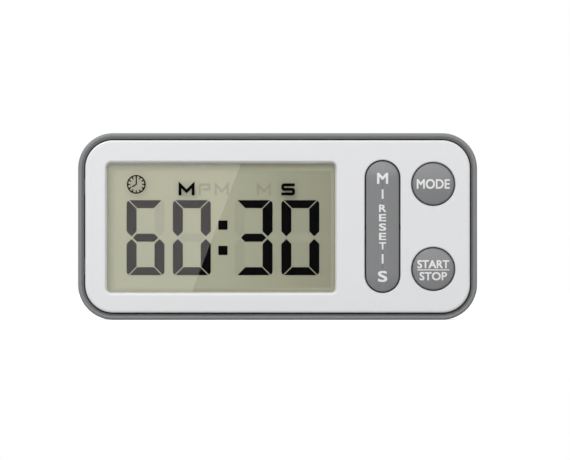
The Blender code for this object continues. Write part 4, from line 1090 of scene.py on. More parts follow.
def stroked(points, width):
    """The outline of a line of this width through these points, with mitred corners."""
    half = width / 2
    places = [Vector(point) for point in points]
    runs = [(b - a).normalized() for a, b in zip(places, places[1:])]
    runs = runs[:1] + runs + runs[-1:]
    sides = ([], [])
    for index, place in enumerate(places):
        before, after = runs[index], runs[index + 1]
        across = Vector((-before.y - after.y, before.x + after.x)).normalized()
        reach = half / max(across.dot(Vector((-before.y, before.x))), 0.35)
        end = {0: -half, len(places) - 1: half}.get(index, 0.0)
        for side, sign in zip(sides, (1, -1)):
            corner = place + across * reach * sign + before * end
            side.append((corner.x, corner.y))
    return sides[0] + sides[1][::-1]


LETTER_PATHS = {
    "M": [[(-1, -1), (-1, 1), (0, -0.45), (1, 1), (1, -1)]],
    "S": [[(1, 1), (-0.8, 1), (-1, 0.8), (-1, 0.2), (-0.8, 0), (0.8, 0), (1, -0.2), (1, -0.8), (0.8, -1),
           (-1, -1)]],
    "P": [[(-1, -1), (-1, 1), (1, 1), (1, 0), (-0.2, 0)]],
}


def display_letters(letters, stroke):
    """Outlines of the letters over the digits."""
    shapes = []
    for letter, width, across in letters:
        for path in LETTER_PATHS[letter]:
            points = [(across + x * (width - stroke) / 2,
                       MIDDLE_Z + LABEL_RISE + z * (LABEL_HEIGHT - stroke) / 2) for x, z in path]
            shapes.append(stroked(points, stroke))
    return shapes


def clock_tree():
    """A ring of hour marks inside a rim, as on a clock symbol."""
    tree, entry, leave = new_tree("clock_marks", "GeometryNodeTree", [
        ("Marks", "NodeSocketInt", 12),
        ("Radius", "NodeSocketFloat", 2.0 * MM),
        ("Mark length", "NodeSocketFloat", 0.5 * MM),
        ("Line", "NodeSocketFloat", 0.3 * MM),
        ("Thickness", "NodeSocketFloat", 0.05 * MM),
        ("Centre", "NodeSocketVector", (0, 0, 0)),
        ("Finish", "NodeSocketMaterial", None),
    ], [("Geometry", "NodeSocketGeometry")])
    size = entry.outputs
    inner = maths(tree, "SUBTRACT", size["Radius"], size["Line"])
    spots = add(tree, "GeometryNodeMeshCircle", {"Vertices": size["Marks"], "Radius": inner}).outputs[0]
    bar = add(tree, "ShaderNodeCombineXYZ", {0: size["Mark length"], 1: size["Line"], 2: size["Thickness"]})
    mark = add(tree, "GeometryNodeMeshCube", {"Size": bar.outputs[0]}).outputs["Mesh"]
    place = add(tree, "GeometryNodeInputPosition").outputs[0]
    turn = add(tree, "FunctionNodeAlignRotationToVector", {"Vector": place}, axis="X").outputs["Rotation"]
    marks = add(tree, "GeometryNodeInstanceOnPoints", {"Points": spots, "Instance": mark, "Rotation": turn})
    rim_path = add(tree, "GeometryNodeCurvePrimitiveCircle", {"Resolution": 48, "Radius": size["Radius"]})
    section = add(tree, "GeometryNodeCurvePrimitiveQuadrilateral",
                  {"Width": size["Line"], "Height": size["Thickness"]})
    rim = add(tree, "GeometryNodeCurveToMesh",
              {"Curve": rim_path.outputs["Curve"], "Profile Curve": section.outputs["Curve"]})
    both = add(tree, "GeometryNodeJoinGeometry")
    tree.links.new(marks.outputs["Instances"], both.inputs[0])
    tree.links.new(rim.outputs["Mesh"], both.inputs[0])
    placed = add(tree, "GeometryNodeTransform", {
        "Geometry": both.outputs[0], "Translation": size["Centre"], "Rotation": (math.pi / 2, 0, 0)})
    solid = add(tree, "GeometryNodeRealizeInstances", {"Geometry": placed.outputs[0]})
    dressed = add(tree, "GeometryNodeSetMaterial", {"Geometry": solid.outputs[0], "Material": size["Finish"]})
    close(tree, leave, {"Geometry": dressed.outputs[0]})
    return tree


def flat_shapes(name, shapes, front, back, material_name):
    """One mesh from convex outlines pushed back a little."""
    skin = Skin()
    for shape in shapes:
        rings = [skin.ring(shape, front), skin.ring(shape, back)]
        skin.band(rings)
        skin.region([rings[0]])
        skin.region([rings[1]])
    return skin.piece(name, finish(material_name))


def display():
    """The panel under the lens, its border of painted shadow, its digits and symbols, lit and idle."""
    settings = bpy.context.scene.timer_display
    panel = Skin()
    width = FILM_HIGH.x - FILM_LOW.x
    height = FILM_HIGH.z - FILM_LOW.z
    glass_low, glass_high = node_box("lcd_front_glass")
    outline = shrinking(width, height, 0.3 * MM, (WINDOW_X, MIDDLE_Z), 3)
    panel.slab([(outline, 0.1 * MM)], glass_low.y, glass_high.y)
    under_lens = LENS_HIGH.y + 0.1 * MM
    opening = window()

    def film(inset):
        return opening(-FIT_GAP - inset)
    panel.slab([(film, 0.01 * MM)], under_lens, under_lens + 0.07 * MM)
    piece = panel.piece("display_panel", finish("lcd_film"))
    settle(piece, "case", "lcd_film", "lcd_front_polarizer", "lcd_front_glass")

    # A ring of painted shadow along the window's edge: its inner rings shift right and down, so the painted
    # shade is widest on the left and at the top.
    border = Skin()
    layer = border.mesh.verts.layers.float.new("inward")
    steps = 6
    band = 1.5 * MM
    shadow_shift = (0.5 * MM, -0.4 * MM)
    y = under_lens - 0.04 * MM
    rings = []
    back = y + 0.05 * MM
    for step, depth in [(step, y) for step in range(steps + 1)] + [(steps, back), (0, back)]:
        share = step / steps
        points = [(x + shadow_shift[0] * share, z + shadow_shift[1] * share) for x, z in opening(-FIT_GAP - band * share)]
        ring = border.ring(points, depth)
        for vertex in ring:
            vertex[layer] = share
        rings.append(ring)
    border.band(rings + rings[:1])
    piece = border.piece("window_border", finish("border_print"))
    settle(piece, "case", "lcd_film")

    front = under_lens - 0.05 * MM
    depth = 0.07 * MM
    middle_z = MIDDLE_Z - DIGIT_DROP
    lit = []
    idle = []
    for digit, x in zip(settings.reading, DIGIT_PLACES):
        for index, shape in enumerate(segment_outlines((x, middle_z))):
            (lit if index in LIT[digit] else idle).append(shape)
    for z in COLON_HEIGHTS:
        lit.append(rounded(COLON_DOT, COLON_DOT, 0.12 * MM, (COLON_X, MIDDLE_Z + z), 2))
    labels = display_letters(LABELS, LABEL_STROKE)
    idle_letters = display_letters(IDLE_LABELS, IDLE_STROKE)
    print_y = LENS_LOW.y - 0.025 * MM
    print_depth = 0.03 * MM
    clock = Vector((CLOCK_PLACE[0], print_y + print_depth / 2, MIDDLE_Z + CLOCK_PLACE[1]))
    hands = [(clock.x, clock.z + 1.45 * MM), (clock.x, clock.z), (clock.x - 0.95 * MM, clock.z - 0.55 * MM)]
    labels.append(stroked(hands, 0.3 * MM))
    ring = grow("clock_ring", clock_tree(), marks=settings.icon_ticks, radius=2.2 * MM, mark_length=0.75 * MM,
                line=CLOCK_LINE, thickness=print_depth, centre=clock, finish=finish("lcd_segment"))
    figures = flat_shapes("lit_figures", lit, front, front + depth, "lcd_segment")
    settle(figures, "case", "lcd_segment")
    lens_print = flat_shapes("lens_print", labels, print_y, print_y + print_depth, "lcd_segment")
    settle(lens_print, "case", "lcd_segment")
    symbol = as_piece("clock_symbol", ring, finish("lcd_segment"))
    settle(symbol, "case", "lcd_segment")
    faint = (("idle_figures", idle, "lcd_ghost"), ("idle_letters", idle_letters, "lcd_ghost_letter"))
    for name, shapes, look in faint:
        ghosts = flat_shapes(name, shapes, under_lens - 0.02 * MM, under_lens + 0.02 * MM, look)
        settle(ghosts, "case", "lcd_segment")


# ---------------------------------------------------------------- keys

def crowned(half):
    """How far behind the key's highest point its surface lies, at an inset from its side."""
    keys = bpy.context.scene.timer_keys

    def drop(inset):
        if inset < keys.fillet:
            rise = math.sqrt(max(keys.fillet ** 2 - (keys.fillet - inset) ** 2, 0.0))
            return keys.crown + keys.fillet - rise
        share = (inset - keys.fillet) / (half - keys.fillet)
        return keys.crown * (1 - share) ** 2
    return drop


def cap_rings(skin, outline, half):
    """The rings of a key's cap, from its side to the middle of its crown."""
    keys = bpy.context.scene.timer_keys
    drop = crowned(half)
    insets = [inset for inset, _ in quarter(keys.fillet, 6)]
    for step in range(1, 9):
        insets.append(keys.fillet + (half - keys.fillet - 0.03 * MM) * step / 8)
    return [skin.ring(outline(inset), KEY_TOP_Y + drop(inset)) for inset in insets]


def round_key(node, name, place, body):
    keys = bpy.context.scene.timer_keys
    low, high = node_box(node)
    half = keys.round_diameter / 2
    flange = (high.x - low.x) / 2
    flange_y = FACE_Y + FACE_THICKNESS + FIT_GAP
    skin = Skin()
    stem = [(high.y, 1.2 * MM), (high.y - 0.3 * MM, 1.5 * MM), (flange_y + 0.7 * MM, 1.5 * MM),
            (flange_y + 0.7 * MM, flange), (flange_y, flange), (flange_y, half)]
    rings = [skin.ring(circle(radius, place), y) for y, radius in stem]
    cap = cap_rings(skin, shrinking_circle(half, place), half)
    skin.band(rings + cap)
    skin.region([rings[0]])
    skin.region([cap[-1]])
    piece = skin.piece(name, finish("key_plastic"))
    settle(piece, body, "key_plastic", node)


def round_surface(place, half):
    drop = crowned(half)

    def surface(x, z):
        return KEY_TOP_Y + drop(half - math.hypot(x - place[0], z - place[1]))
    return surface


def print_piece(name, meshes, body):
    piece = merged(name, meshes, finish("legend_print"))
    settle(piece, body, "legend_print")


def bar_mesh(width, height, centre, surface, thickness):
    """A printed bar that follows a crowned surface."""
    mesh = bmesh.new()
    columns = 8
    rows = 8
    grids = []
    for lift in (-0.02 * MM, thickness):
        grid = []
        for row in range(rows + 1):
            z = centre[1] + height * (row / rows - 0.5)
            line = []
            for column in range(columns + 1):
                x = centre[0] + width * (column / columns - 0.5)
                line.append(mesh.verts.new((x, surface(x, z) - lift, z)))
            grid.append(line)
        grids.append(grid)
    for grid in grids:
        for row in range(rows):
            for column in range(columns):
                mesh.faces.new((grid[row][column], grid[row][column + 1],
                                grid[row + 1][column + 1], grid[row + 1][column]))
    border = [(0, c) for c in range(columns)] + [(r, columns) for r in range(rows)]
    border += [(rows, c) for c in range(columns, 0, -1)] + [(r, 0) for r in range(rows, 0, -1)]
    for (r1, c1), (r2, c2) in zip(border, border[1:] + border[:1]):
        mesh.faces.new((grids[0][r1][c1], grids[0][r2][c2], grids[1][r2][c2], grids[1][r1][c1]))
    bmesh.ops.recalc_face_normals(mesh, faces=mesh.faces)
    data = bpy.data.meshes.new("bar")
    mesh.to_mesh(data)
    mesh.free()
    return data


def keys():
    """The two round keys, the rocking key and their legends."""
    settings = bpy.context.scene.timer_keys
    half = settings.round_diameter / 2
    round_key("mode_button", "mode_key", MODE_PLACE, "mode_button")
    surface = round_surface(MODE_PLACE, half)
    words = lettering("MODE", 8.3 * MM, 2.45 * MM, MODE_PLACE, INK, BOLD, surface)
    print_piece("mode_legend", words, "mode_button")
    round_key("start_stop_button", "start_stop_key", START_PLACE, "start_stop_button")
    surface = round_surface(START_PLACE, half)
    x, z = START_PLACE
    words = lettering("START", 8.0 * MM, 2.1 * MM, (x, z + 1.2 * MM), INK, BOLD, surface)
    words += lettering("STOP", 6.9 * MM, 2.1 * MM, (x, z - 1.8 * MM), INK, BOLD, surface)
    words.append(bar_mesh(8.0 * MM, 0.25 * MM, (x, z - 0.22 * MM), surface, INK))
    print_piece("start_stop_legend", words, "start_stop_button")
    rocking_key()


def rocking_key():
    low, high = PILL_LOW, PILL_HIGH
    half = (high.x - low.x) / 2
    skin = Skin()
    outline = pill()
    under_y = FACE_Y + 2.0 * MM
    rings = [skin.ring(outline(0), under_y)] + cap_rings(skin, outline, half)
    skin.band(rings)
    skin.region([rings[0]])
    skin.region([rings[-1]])
    pin_low, pin_high = node_box("rocker_pin")
    pin = ((pin_low.y + pin_high.y) / 2, MIDDLE_Z)
    bore = (pin_high.y - pin_low.y) / 2 + 0.2 * MM
    rib = [(under_y - 0.05 * MM, pin[1] + 2.2 * MM), (pin[0] + bore + 0.4 * MM, pin[1] + 2.2 * MM),
           (pin[0] + bore + 0.55 * MM, pin[1] + 2.0 * MM), (pin[0] + bore + 0.55 * MM, pin[1] - 2.0 * MM),
           (pin[0] + bore + 0.4 * MM, pin[1] - 2.2 * MM), (under_y - 0.05 * MM, pin[1] - 2.2 * MM)]
    sides = []
    bores = []
    for x in (low.x + 0.3 * MM, high.x - 0.3 * MM):
        sides.append(skin.cross_ring(x, rib))
        bores.append(skin.cross_ring(x, circle(bore, pin, 32)))
    skin.band(sides)
    skin.band(bores)
    for side, hole in zip(sides, bores):
        skin.region([side, hole])
    for z in (MIDDLE_Z - 12.0 * MM, MIDDLE_Z + 12.0 * MM):
        skin.turned((PILL_PLACE[0], z), [(under_y - 0.05 * MM, 1.5 * MM), (high.y - 0.3 * MM, 1.5 * MM),
                                         (high.y, 1.2 * MM)], 32)
    piece = skin.piece("rocking_key", finish("key_plastic"))
    settle(piece, "minute_second_key", "key_plastic", "minute_second_key")
    drop = crowned(half)
    length = (high.z - low.z) / 2

    def surface(x, z):
        spine = max(abs(z - MIDDLE_Z) - (length - half), 0.0)
        return KEY_TOP_Y + drop(half - math.hypot(x - PILL_PLACE[0], spine))
    x = PILL_PLACE[0]
    marks = lettering("M", 2.8 * MM, 2.75 * MM, (x, MIDDLE_Z + 12.05 * MM), INK, 0.2 * MM, surface)
    marks += lettering("S", 2.35 * MM, 2.8 * MM, (x, MIDDLE_Z - 12.5 * MM), INK, 0.2 * MM, surface)
    for side in (1, -1):
        marks.append(bar_mesh(0.45 * MM, 2.4 * MM, (x, MIDDLE_Z + side * 8.1 * MM), surface, INK))
    pitch = 2.35 * MM
    for index, letter in enumerate("RESET"):
        marks += lettering(letter, 1.8 * MM, 1.85 * MM, (x, MIDDLE_Z - 0.15 * MM + (2 - index) * pitch), INK,
                           BOLD, surface)
    print_piece("rocking_legend", marks, "minute_second_key")


# ---------------------------------------------------------------- back

def rib_tree():
    """A row of half-round grip ribs."""
    tree, entry, leave = new_tree("grip_ribs", "GeometryNodeTree", [
        ("Count", "NodeSocketInt", 5),
        ("Pitch", "NodeSocketVector", (1.1 * MM, 0, 0)),
        ("Length", "NodeSocketFloat", 6.0 * MM),
        ("Radius", "NodeSocketFloat", 0.3 * MM),
        ("First", "NodeSocketVector", (0, 0, 0)),
        ("Turn", "NodeSocketRotation", (0, 0, 0)),
        ("Finish", "NodeSocketMaterial", None),
    ], [("Geometry", "NodeSocketGeometry")])
    size = entry.outputs
    spots = add(tree, "GeometryNodeMeshLine", {
        "Count": size["Count"], "Start Location": size["First"], "Offset": size["Pitch"]}).outputs[0]
    bar = add(tree, "GeometryNodeMeshCylinder", {
        "Vertices": 24, "Radius": size["Radius"], "Depth": size["Length"]}).outputs["Mesh"]
    ball = add(tree, "GeometryNodeMeshUVSphere", {
        "Segments": 24, "Rings": 12, "Radius": size["Radius"]}).outputs[0]
    half = maths(tree, "MULTIPLY", size["Length"], 0.5)
    shapes = add(tree, "GeometryNodeJoinGeometry")
    tree.links.new(bar, shapes.inputs[0])
    for side in (1.0, -1.0):
        offset = maths(tree, "MULTIPLY", half, side)
        place = add(tree, "ShaderNodeCombineXYZ", {2: offset}).outputs[0]
        end = add(tree, "GeometryNodeTransform", {"Geometry": ball, "Translation": place}).outputs[0]
        tree.links.new(end, shapes.inputs[0])
    ribs = add(tree, "GeometryNodeInstanceOnPoints", {
        "Points": spots, "Instance": shapes.outputs[0], "Rotation": size["Turn"]}).outputs["Instances"]
    solid = add(tree, "GeometryNodeRealizeInstances", {"Geometry": ribs}).outputs[0]
    smooth = add(tree, "GeometryNodeSetShadeSmooth", {"Geometry": solid}).outputs[0]
    dressed = add(tree, "GeometryNodeSetMaterial", {"Geometry": smooth, "Material": size["Finish"]})
    close(tree, leave, {"Geometry": dressed.outputs[0]})
    return tree


def ribs(name, count, first, pitch, length, turn, body):
    """Grip ribs as one piece on a body."""
    tree = bpy.data.node_groups.get("grip_ribs") or rib_tree()
    data = grow(name, tree, count=count, pitch=pitch, length=length, radius=0.35 * MM, first=first, turn=turn,
                finish=finish("grey_plastic"))
    piece = as_piece(name, data, finish("grey_plastic"))
    settle(piece, body, "grey_plastic")


def battery_door():
    """The flush cover of the cell bay, with a finger groove, ribs and an arrow."""
    back = bpy.context.scene.timer_back
    skin = Skin()
    width = DOOR_HIGH.x - DOOR_LOW.x
    height = DOOR_HIGH.z - DOOR_LOW.z
    centre = ((DOOR_LOW.x + DOOR_HIGH.x) / 2, (DOOR_LOW.z + DOOR_HIGH.z) / 2)
    outline = shrinking(width, height, 0.4 * MM, centre, 4)
    dip_centre = (DOOR_HIGH.x - 6.2 * MM, centre[1])
    dip = growing(6.4 * MM, 7.4 * MM, 1.6 * MM, dip_centre, 8)
    front = [skin.ring(outline(0.15 * MM), DOOR_LOW.y), skin.ring(outline(0), DOOR_LOW.y + 0.15 * MM)]
    edge = [skin.ring(outline(inset), BACK_Y - 0.25 * MM + rise) for inset, rise in quarter(0.25 * MM)]
    skin.band(front + edge)
    skin.region([front[0]])
    hollow = [skin.ring(dip(grown), BACK_Y - 0.2 * MM + rise) for grown, rise in quarter(0.2 * MM)][::-1]
    depth = 0.55 * MM
    for inset, rise in quarter(0.35 * MM):
        hollow.append(skin.ring(dip(-0.35 * MM + (0.35 * MM - inset)), BACK_Y - depth + 0.35 * MM - rise))
    skin.band(hollow)
    skin.region([edge[-1], hollow[0]])
    skin.region([hollow[-1]])
    piece = skin.piece("cell_door", finish("grey_plastic"))
    settle(piece, "battery_door", "grey_plastic", "battery_door")
    first = (dip_centre[0] - back.rib_pitch * (back.door_ribs - 1) / 2, BACK_Y - depth, centre[1])
    ribs("door_ribs", back.door_ribs, first, (back.rib_pitch, 0, 0), 4.6 * MM, (0, 0, 0), "battery_door")
    arrow_x = dip_centre[0] - 8.0 * MM
    shape = [(arrow_x + 1.2 * MM, centre[1] + 1.6 * MM), (arrow_x - 1.4 * MM, centre[1]),
             (arrow_x + 1.2 * MM, centre[1] - 1.6 * MM)]
    arrow = flat_shapes("door_arrow", [shape], BACK_Y - 0.12 * MM, BACK_Y + 0.12 * MM, "grey_plastic")
    settle(arrow, "battery_door", "grey_plastic")


def kickstand():
    """The folding stand: its plate with a finger notch, its barrel and its pins."""
    left = STAND_LOW.x + STAND_PIN_REACH
    right = STAND_HIGH.x - STAND_PIN_REACH
    axis_y = BACK_Y - STAND_AXIS_DEPTH
    axis_z = STAND_HIGH.z - STAND_BARREL_RADIUS
    foot_z = STAND_LOW.z
    middle_x = (left + right) / 2
    notch = STAND_NOTCH_RADIUS
    inner_y = BACK_Y - STAND_THICKNESS
    fillet = 0.25 * MM
    corner = 0.8 * MM

    def plate(inset):
        """The plate's outline, whose lower edge is notched."""
        top = axis_z + 0.1 * MM
        points = [(right - inset, top), (left + inset, top)]
        points += arc((left + corner, foot_z + corner), corner - inset, math.pi)
        reach = math.acos(min(1.0, inset / (notch + inset)))
        for step in range(33):
            angle = math.pi / 2 + reach - 2 * reach * step / 32
            points.append((middle_x + (notch + inset) * math.cos(angle),
                           foot_z + (notch + inset) * math.sin(angle)))
        points += arc((right - corner, foot_z + corner), corner - inset, 1.5 * math.pi)
        return points
    skin = Skin()
    rings = skin.edge_rings(plate, fillet, inner_y, 1)[::-1]
    rings += skin.edge_rings(plate, fillet, BACK_Y, -1)
    skin.band(rings)
    skin.region([rings[0]])
    skin.region([rings[-1]])
    turn = [(left, STAND_BARREL_RADIUS - 0.2 * MM), (left + 0.06 * MM, STAND_BARREL_RADIUS - 0.06 * MM),
            (left + 0.2 * MM, STAND_BARREL_RADIUS)]
    turn += [(left + right - x, radius) for x, radius in turn[::-1]]
    pins = [(STAND_LOW.x, STAND_PIN_RADIUS - 0.15 * MM), (STAND_LOW.x + 0.15 * MM, STAND_PIN_RADIUS),
            (left, STAND_PIN_RADIUS)]
    profile = pins + turn + [(left + right - x, radius) for x, radius in pins[::-1]]
    turned_along_x(skin, profile, (axis_y, axis_z), 40)
    piece = skin.piece("folding_stand", finish("grey_plastic"))
    settle(piece, "kickstand", "grey_plastic", "kickstand")


def turned_along_x(skin, profile, axis, steps=64):
    """A closed shape turned about a line along X; profile is (x, radius) and axis is (y, z)."""
    rings = [skin.cross_ring(x, circle(radius, axis, steps)) for x, radius in profile]
    skin.band(rings)
    skin.region([rings[0]])
    skin.region([rings[-1]])


def spring_tree():
    """A conical coil of round wire along X."""
    tree, entry, leave = new_tree("coil_spring", "GeometryNodeTree", [
        ("Turns", "NodeSocketFloat", 4.5),
        ("Start radius", "NodeSocketFloat", 2.9 * MM),
        ("End radius", "NodeSocketFloat", 3.9 * MM),
        ("Wire radius", "NodeSocketFloat", 0.3 * MM),
        ("Length", "NodeSocketFloat", 5.0 * MM),
        ("Start", "NodeSocketVector", (0, 0, 0)),
        ("Finish", "NodeSocketMaterial", None),
    ], [("Geometry", "NodeSocketGeometry")])
    size = entry.outputs
    path = add(tree, "GeometryNodeCurveSpiral", {
        "Resolution": 48, "Rotations": size["Turns"], "Start Radius": size["Start radius"],
        "End Radius": size["End radius"], "Height": size["Length"]}).outputs["Curve"]
    section = add(tree, "GeometryNodeCurvePrimitiveCircle", {"Resolution": 16, "Radius": size["Wire radius"]})
    wire = add(tree, "GeometryNodeCurveToMesh", {
        "Curve": path, "Profile Curve": section.outputs["Curve"], "Fill Caps": True}).outputs["Mesh"]
    laid = add(tree, "GeometryNodeTransform", {
        "Geometry": wire, "Translation": size["Start"], "Rotation": (0, math.pi / 2, 0)}).outputs[0]
    smooth = add(tree, "GeometryNodeSetShadeSmooth", {"Geometry": laid}).outputs[0]
    solid = add(tree, "GeometryNodeRealizeInstances", {"Geometry": smooth}).outputs[0]
    dressed = add(tree, "GeometryNodeSetMaterial", {"Geometry": solid, "Material": size["Finish"]}).outputs[0]
    close(tree, leave, {"Geometry": dressed})
    return tree


def battery():
    """The cell with its sleeve, its two contacts and the coil spring."""
    back = bpy.context.scene.timer_back
    radius = (CELL_HIGH.z - CELL_LOW.z) / 2
    axis = ((CELL_LOW.y + CELL_HIGH.y) / 2, (CELL_LOW.z + CELL_HIGH.z) / 2)
    left = CELL_LOW.x
    right = CELL_HIGH.x
    shoulder = left + 0.9 * MM
    skin = Skin()
    turned_along_x(skin, [
        (left, 1.6 * MM), (left + 0.08 * MM, 1.8 * MM), (left + 0.3 * MM, 1.9 * MM), (shoulder, 1.9 * MM),
        (shoulder, radius - 1.1 * MM), (shoulder + 0.06 * MM, radius - 0.7 * MM),
        (shoulder + 0.25 * MM, radius - 0.25 * MM), (shoulder + 0.5 * MM, radius - 0.06 * MM),
        (shoulder + 0.8 * MM, radius), (right - 0.6 * MM, radius), (right - 0.25 * MM, radius - 0.1 * MM),
        (right - 0.06 * MM, radius - 0.3 * MM), (right, radius - 0.6 * MM)], axis)
    piece = skin.piece("cell", finish("cell_sleeve"))
    settle(piece, "case", "cell_sleeve", "battery")
    wire = 0.3 * MM
    start = Vector((SPRING_LOW.x + wire, axis[0], axis[1]))
    length = SPRING_HIGH.x - SPRING_LOW.x - 2 * wire
    coil = grow("spring", spring_tree(), turns=back.spring_turns, start_radius=2.9 * MM, end_radius=3.9 * MM,
                wire_radius=wire, length=length, start=start, finish=finish("bright_steel"))
    piece = as_piece("cell_spring", coil, finish("bright_steel"))
    settle(piece, "case", "bright_steel", "battery_spring")


def screws():
    """The four case screws, each with a cross recess, at the bottom of their wells."""
    for number, name in enumerate(SCREWS, start=1):
        low, high = node_box(name)
        place = spot(name)
        head_y = high.y - 1.5 * MM
        radius = (high.x - low.x) / 2
        skin = Skin()
        thread = [(low.y, 0.3 * MM), (low.y + 0.7 * MM, 0.75 * MM)]
        y = low.y + 0.9 * MM
        while y < head_y - 0.5 * MM:
            thread += [(y, 0.72 * MM), (y + 0.22 * MM, SHANK_RADIUS), (y + 0.3 * MM, SHANK_RADIUS)]
            y += 0.52 * MM
        profile = thread + [(head_y, 0.8 * MM), (head_y, radius - 0.1 * MM), (head_y + 0.1 * MM, radius)]
        for step in range(6):
            angle = HEAD_BEND * step / 5
            profile.append((head_y + 0.6 * MM + 0.9 * MM * math.sin(angle) / math.sin(HEAD_BEND),
                            radius - 0.8 * MM * (1 - math.cos(angle)) / (1 - math.cos(HEAD_BEND))))
        rings = [skin.ring(circle(r, place, 40), y) for y, r in profile]
        skin.band(rings)
        skin.region([rings[0]])
        cross = cross_outline(0.85 * MM, 0.26 * MM, place)
        mouth = skin.ring(cross, high.y)
        floor = skin.ring(cross_outline(0.55 * MM, 0.18 * MM, place), high.y - 0.8 * MM)
        skin.region([rings[-1], mouth])
        skin.band([mouth, floor])
        skin.region([floor])
        piece = skin.piece(f"screw_{number}", finish("screw_steel"))
        settle(piece, "case", "screw_steel", name)


def cross_outline(reach, half, place):
    """The twelve corners of a cross recess."""
    corner = [(reach, -half), (reach, half), (half, half)]
    points = []
    for quarter_turn in range(4):
        c, s = ((1, 0), (0, 1), (-1, 0), (0, -1))[quarter_turn]
        points += [(place[0] + x * c - z * s, place[1] + x * s + z * c) for x, z in corner]
    return points


def round_plate(node, name, look, front_fillet, back_fillet, steps):
    """A round plate in the place of a solid, with softened edges."""
    low, high = node_box(node)
    radius = (high.x - low.x) / 2
    place = spot(node)
    skin = Skin()
    outline = shrinking_circle(radius, place, steps)
    skin.slab([(outline, front_fillet)], low.y, high.y, back_fillet)
    piece = skin.piece(name, finish(look))
    settle(piece, "case", look, node)


def magnets_and_buzzer():
    """The two plated magnets with rounded edges, and the buzzer's disc behind its holes."""
    for name, side in zip(MAGNETS, ("left", "right")):
        round_plate(name, f"holding_magnet_{side}", "magnet_plating", 0.1 * MM, 0.22 * MM, ROUND_STEPS)
    round_plate("buzzer_disc", "buzzer_plate", "buzzer_brass", 0.04 * MM, 0.04 * MM, 96)


INSIDE_FINISHES = {
    "lcd_rear_glass": "lcd_glass", "lcd_reflector": "lcd_reflector", "zebra_strip": "grey_rubber",
    "rubber_keypad": "grey_rubber", "circuit_board": "board_laminate", "chip_blob": "black_epoxy",
    "filter_capacitor": "black_epoxy", "resistor_1": "black_epoxy", "resistor_2": "black_epoxy",
    "crystal_can": "bright_steel", "rocker_pin": "dark_steel", "battery_contact": "bright_steel",
    "spring_contact": "bright_steel", "carbon_pill_mode": "carbon_rubber",
    "carbon_pill_start_stop": "carbon_rubber", "carbon_pill_minute": "carbon_rubber",
    "carbon_pill_second": "carbon_rubber", "buzzer_ceramic": "piezo_ceramic", "buzzer_lead_red": "red_lead",
    "battery_lead_red": "red_lead", "buzzer_lead_black": "black_lead", "battery_lead_black": "black_lead",
}


def inside_parts():
    """Finishes for the parts inside the case, whose solids stay as they are."""
    for name, material_name in INSIDE_FINISHES.items():
        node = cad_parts[name]
        for slot in node.material_slots:
            slot.material = finish(material_name)


# ---------------------------------------------------------------- stage

LAMP_SIZE = (0.5, 0.35)
LAMP_PLACE = (-0.22, -0.38, 0.46)
EYE_X = 1.86 * MM
EYE_Z = 22.52 * MM
# Where the bright card's slanted edge crosses the top and the bottom of the window
GLARE_TOP_X = -9.0 * MM
GLARE_BOTTOM_X = -21.4 * MM
GLARE_REACH = 16.3 * MM


def stage_plane(name, corners, strength, colour):
    """A flat card or floor with an even glow."""
    data = bpy.data.meshes.new(name)
    data.from_pydata(corners, [], [tuple(range(len(corners)))])
    card = bpy.data.objects.new(name, data)
    bpy.context.scene.collection.objects.link(card)
    made, _, shader = new_material(name)
    shader.inputs["Base Color"].default_value = (*colour, 1)
    shader.inputs["Roughness"].default_value = 0.6
    shader.inputs["Emission Color"].default_value = (1, 1, 1, 1)
    shader.inputs["Emission Strength"].default_value = strength
    data.materials.append(made)
    return card


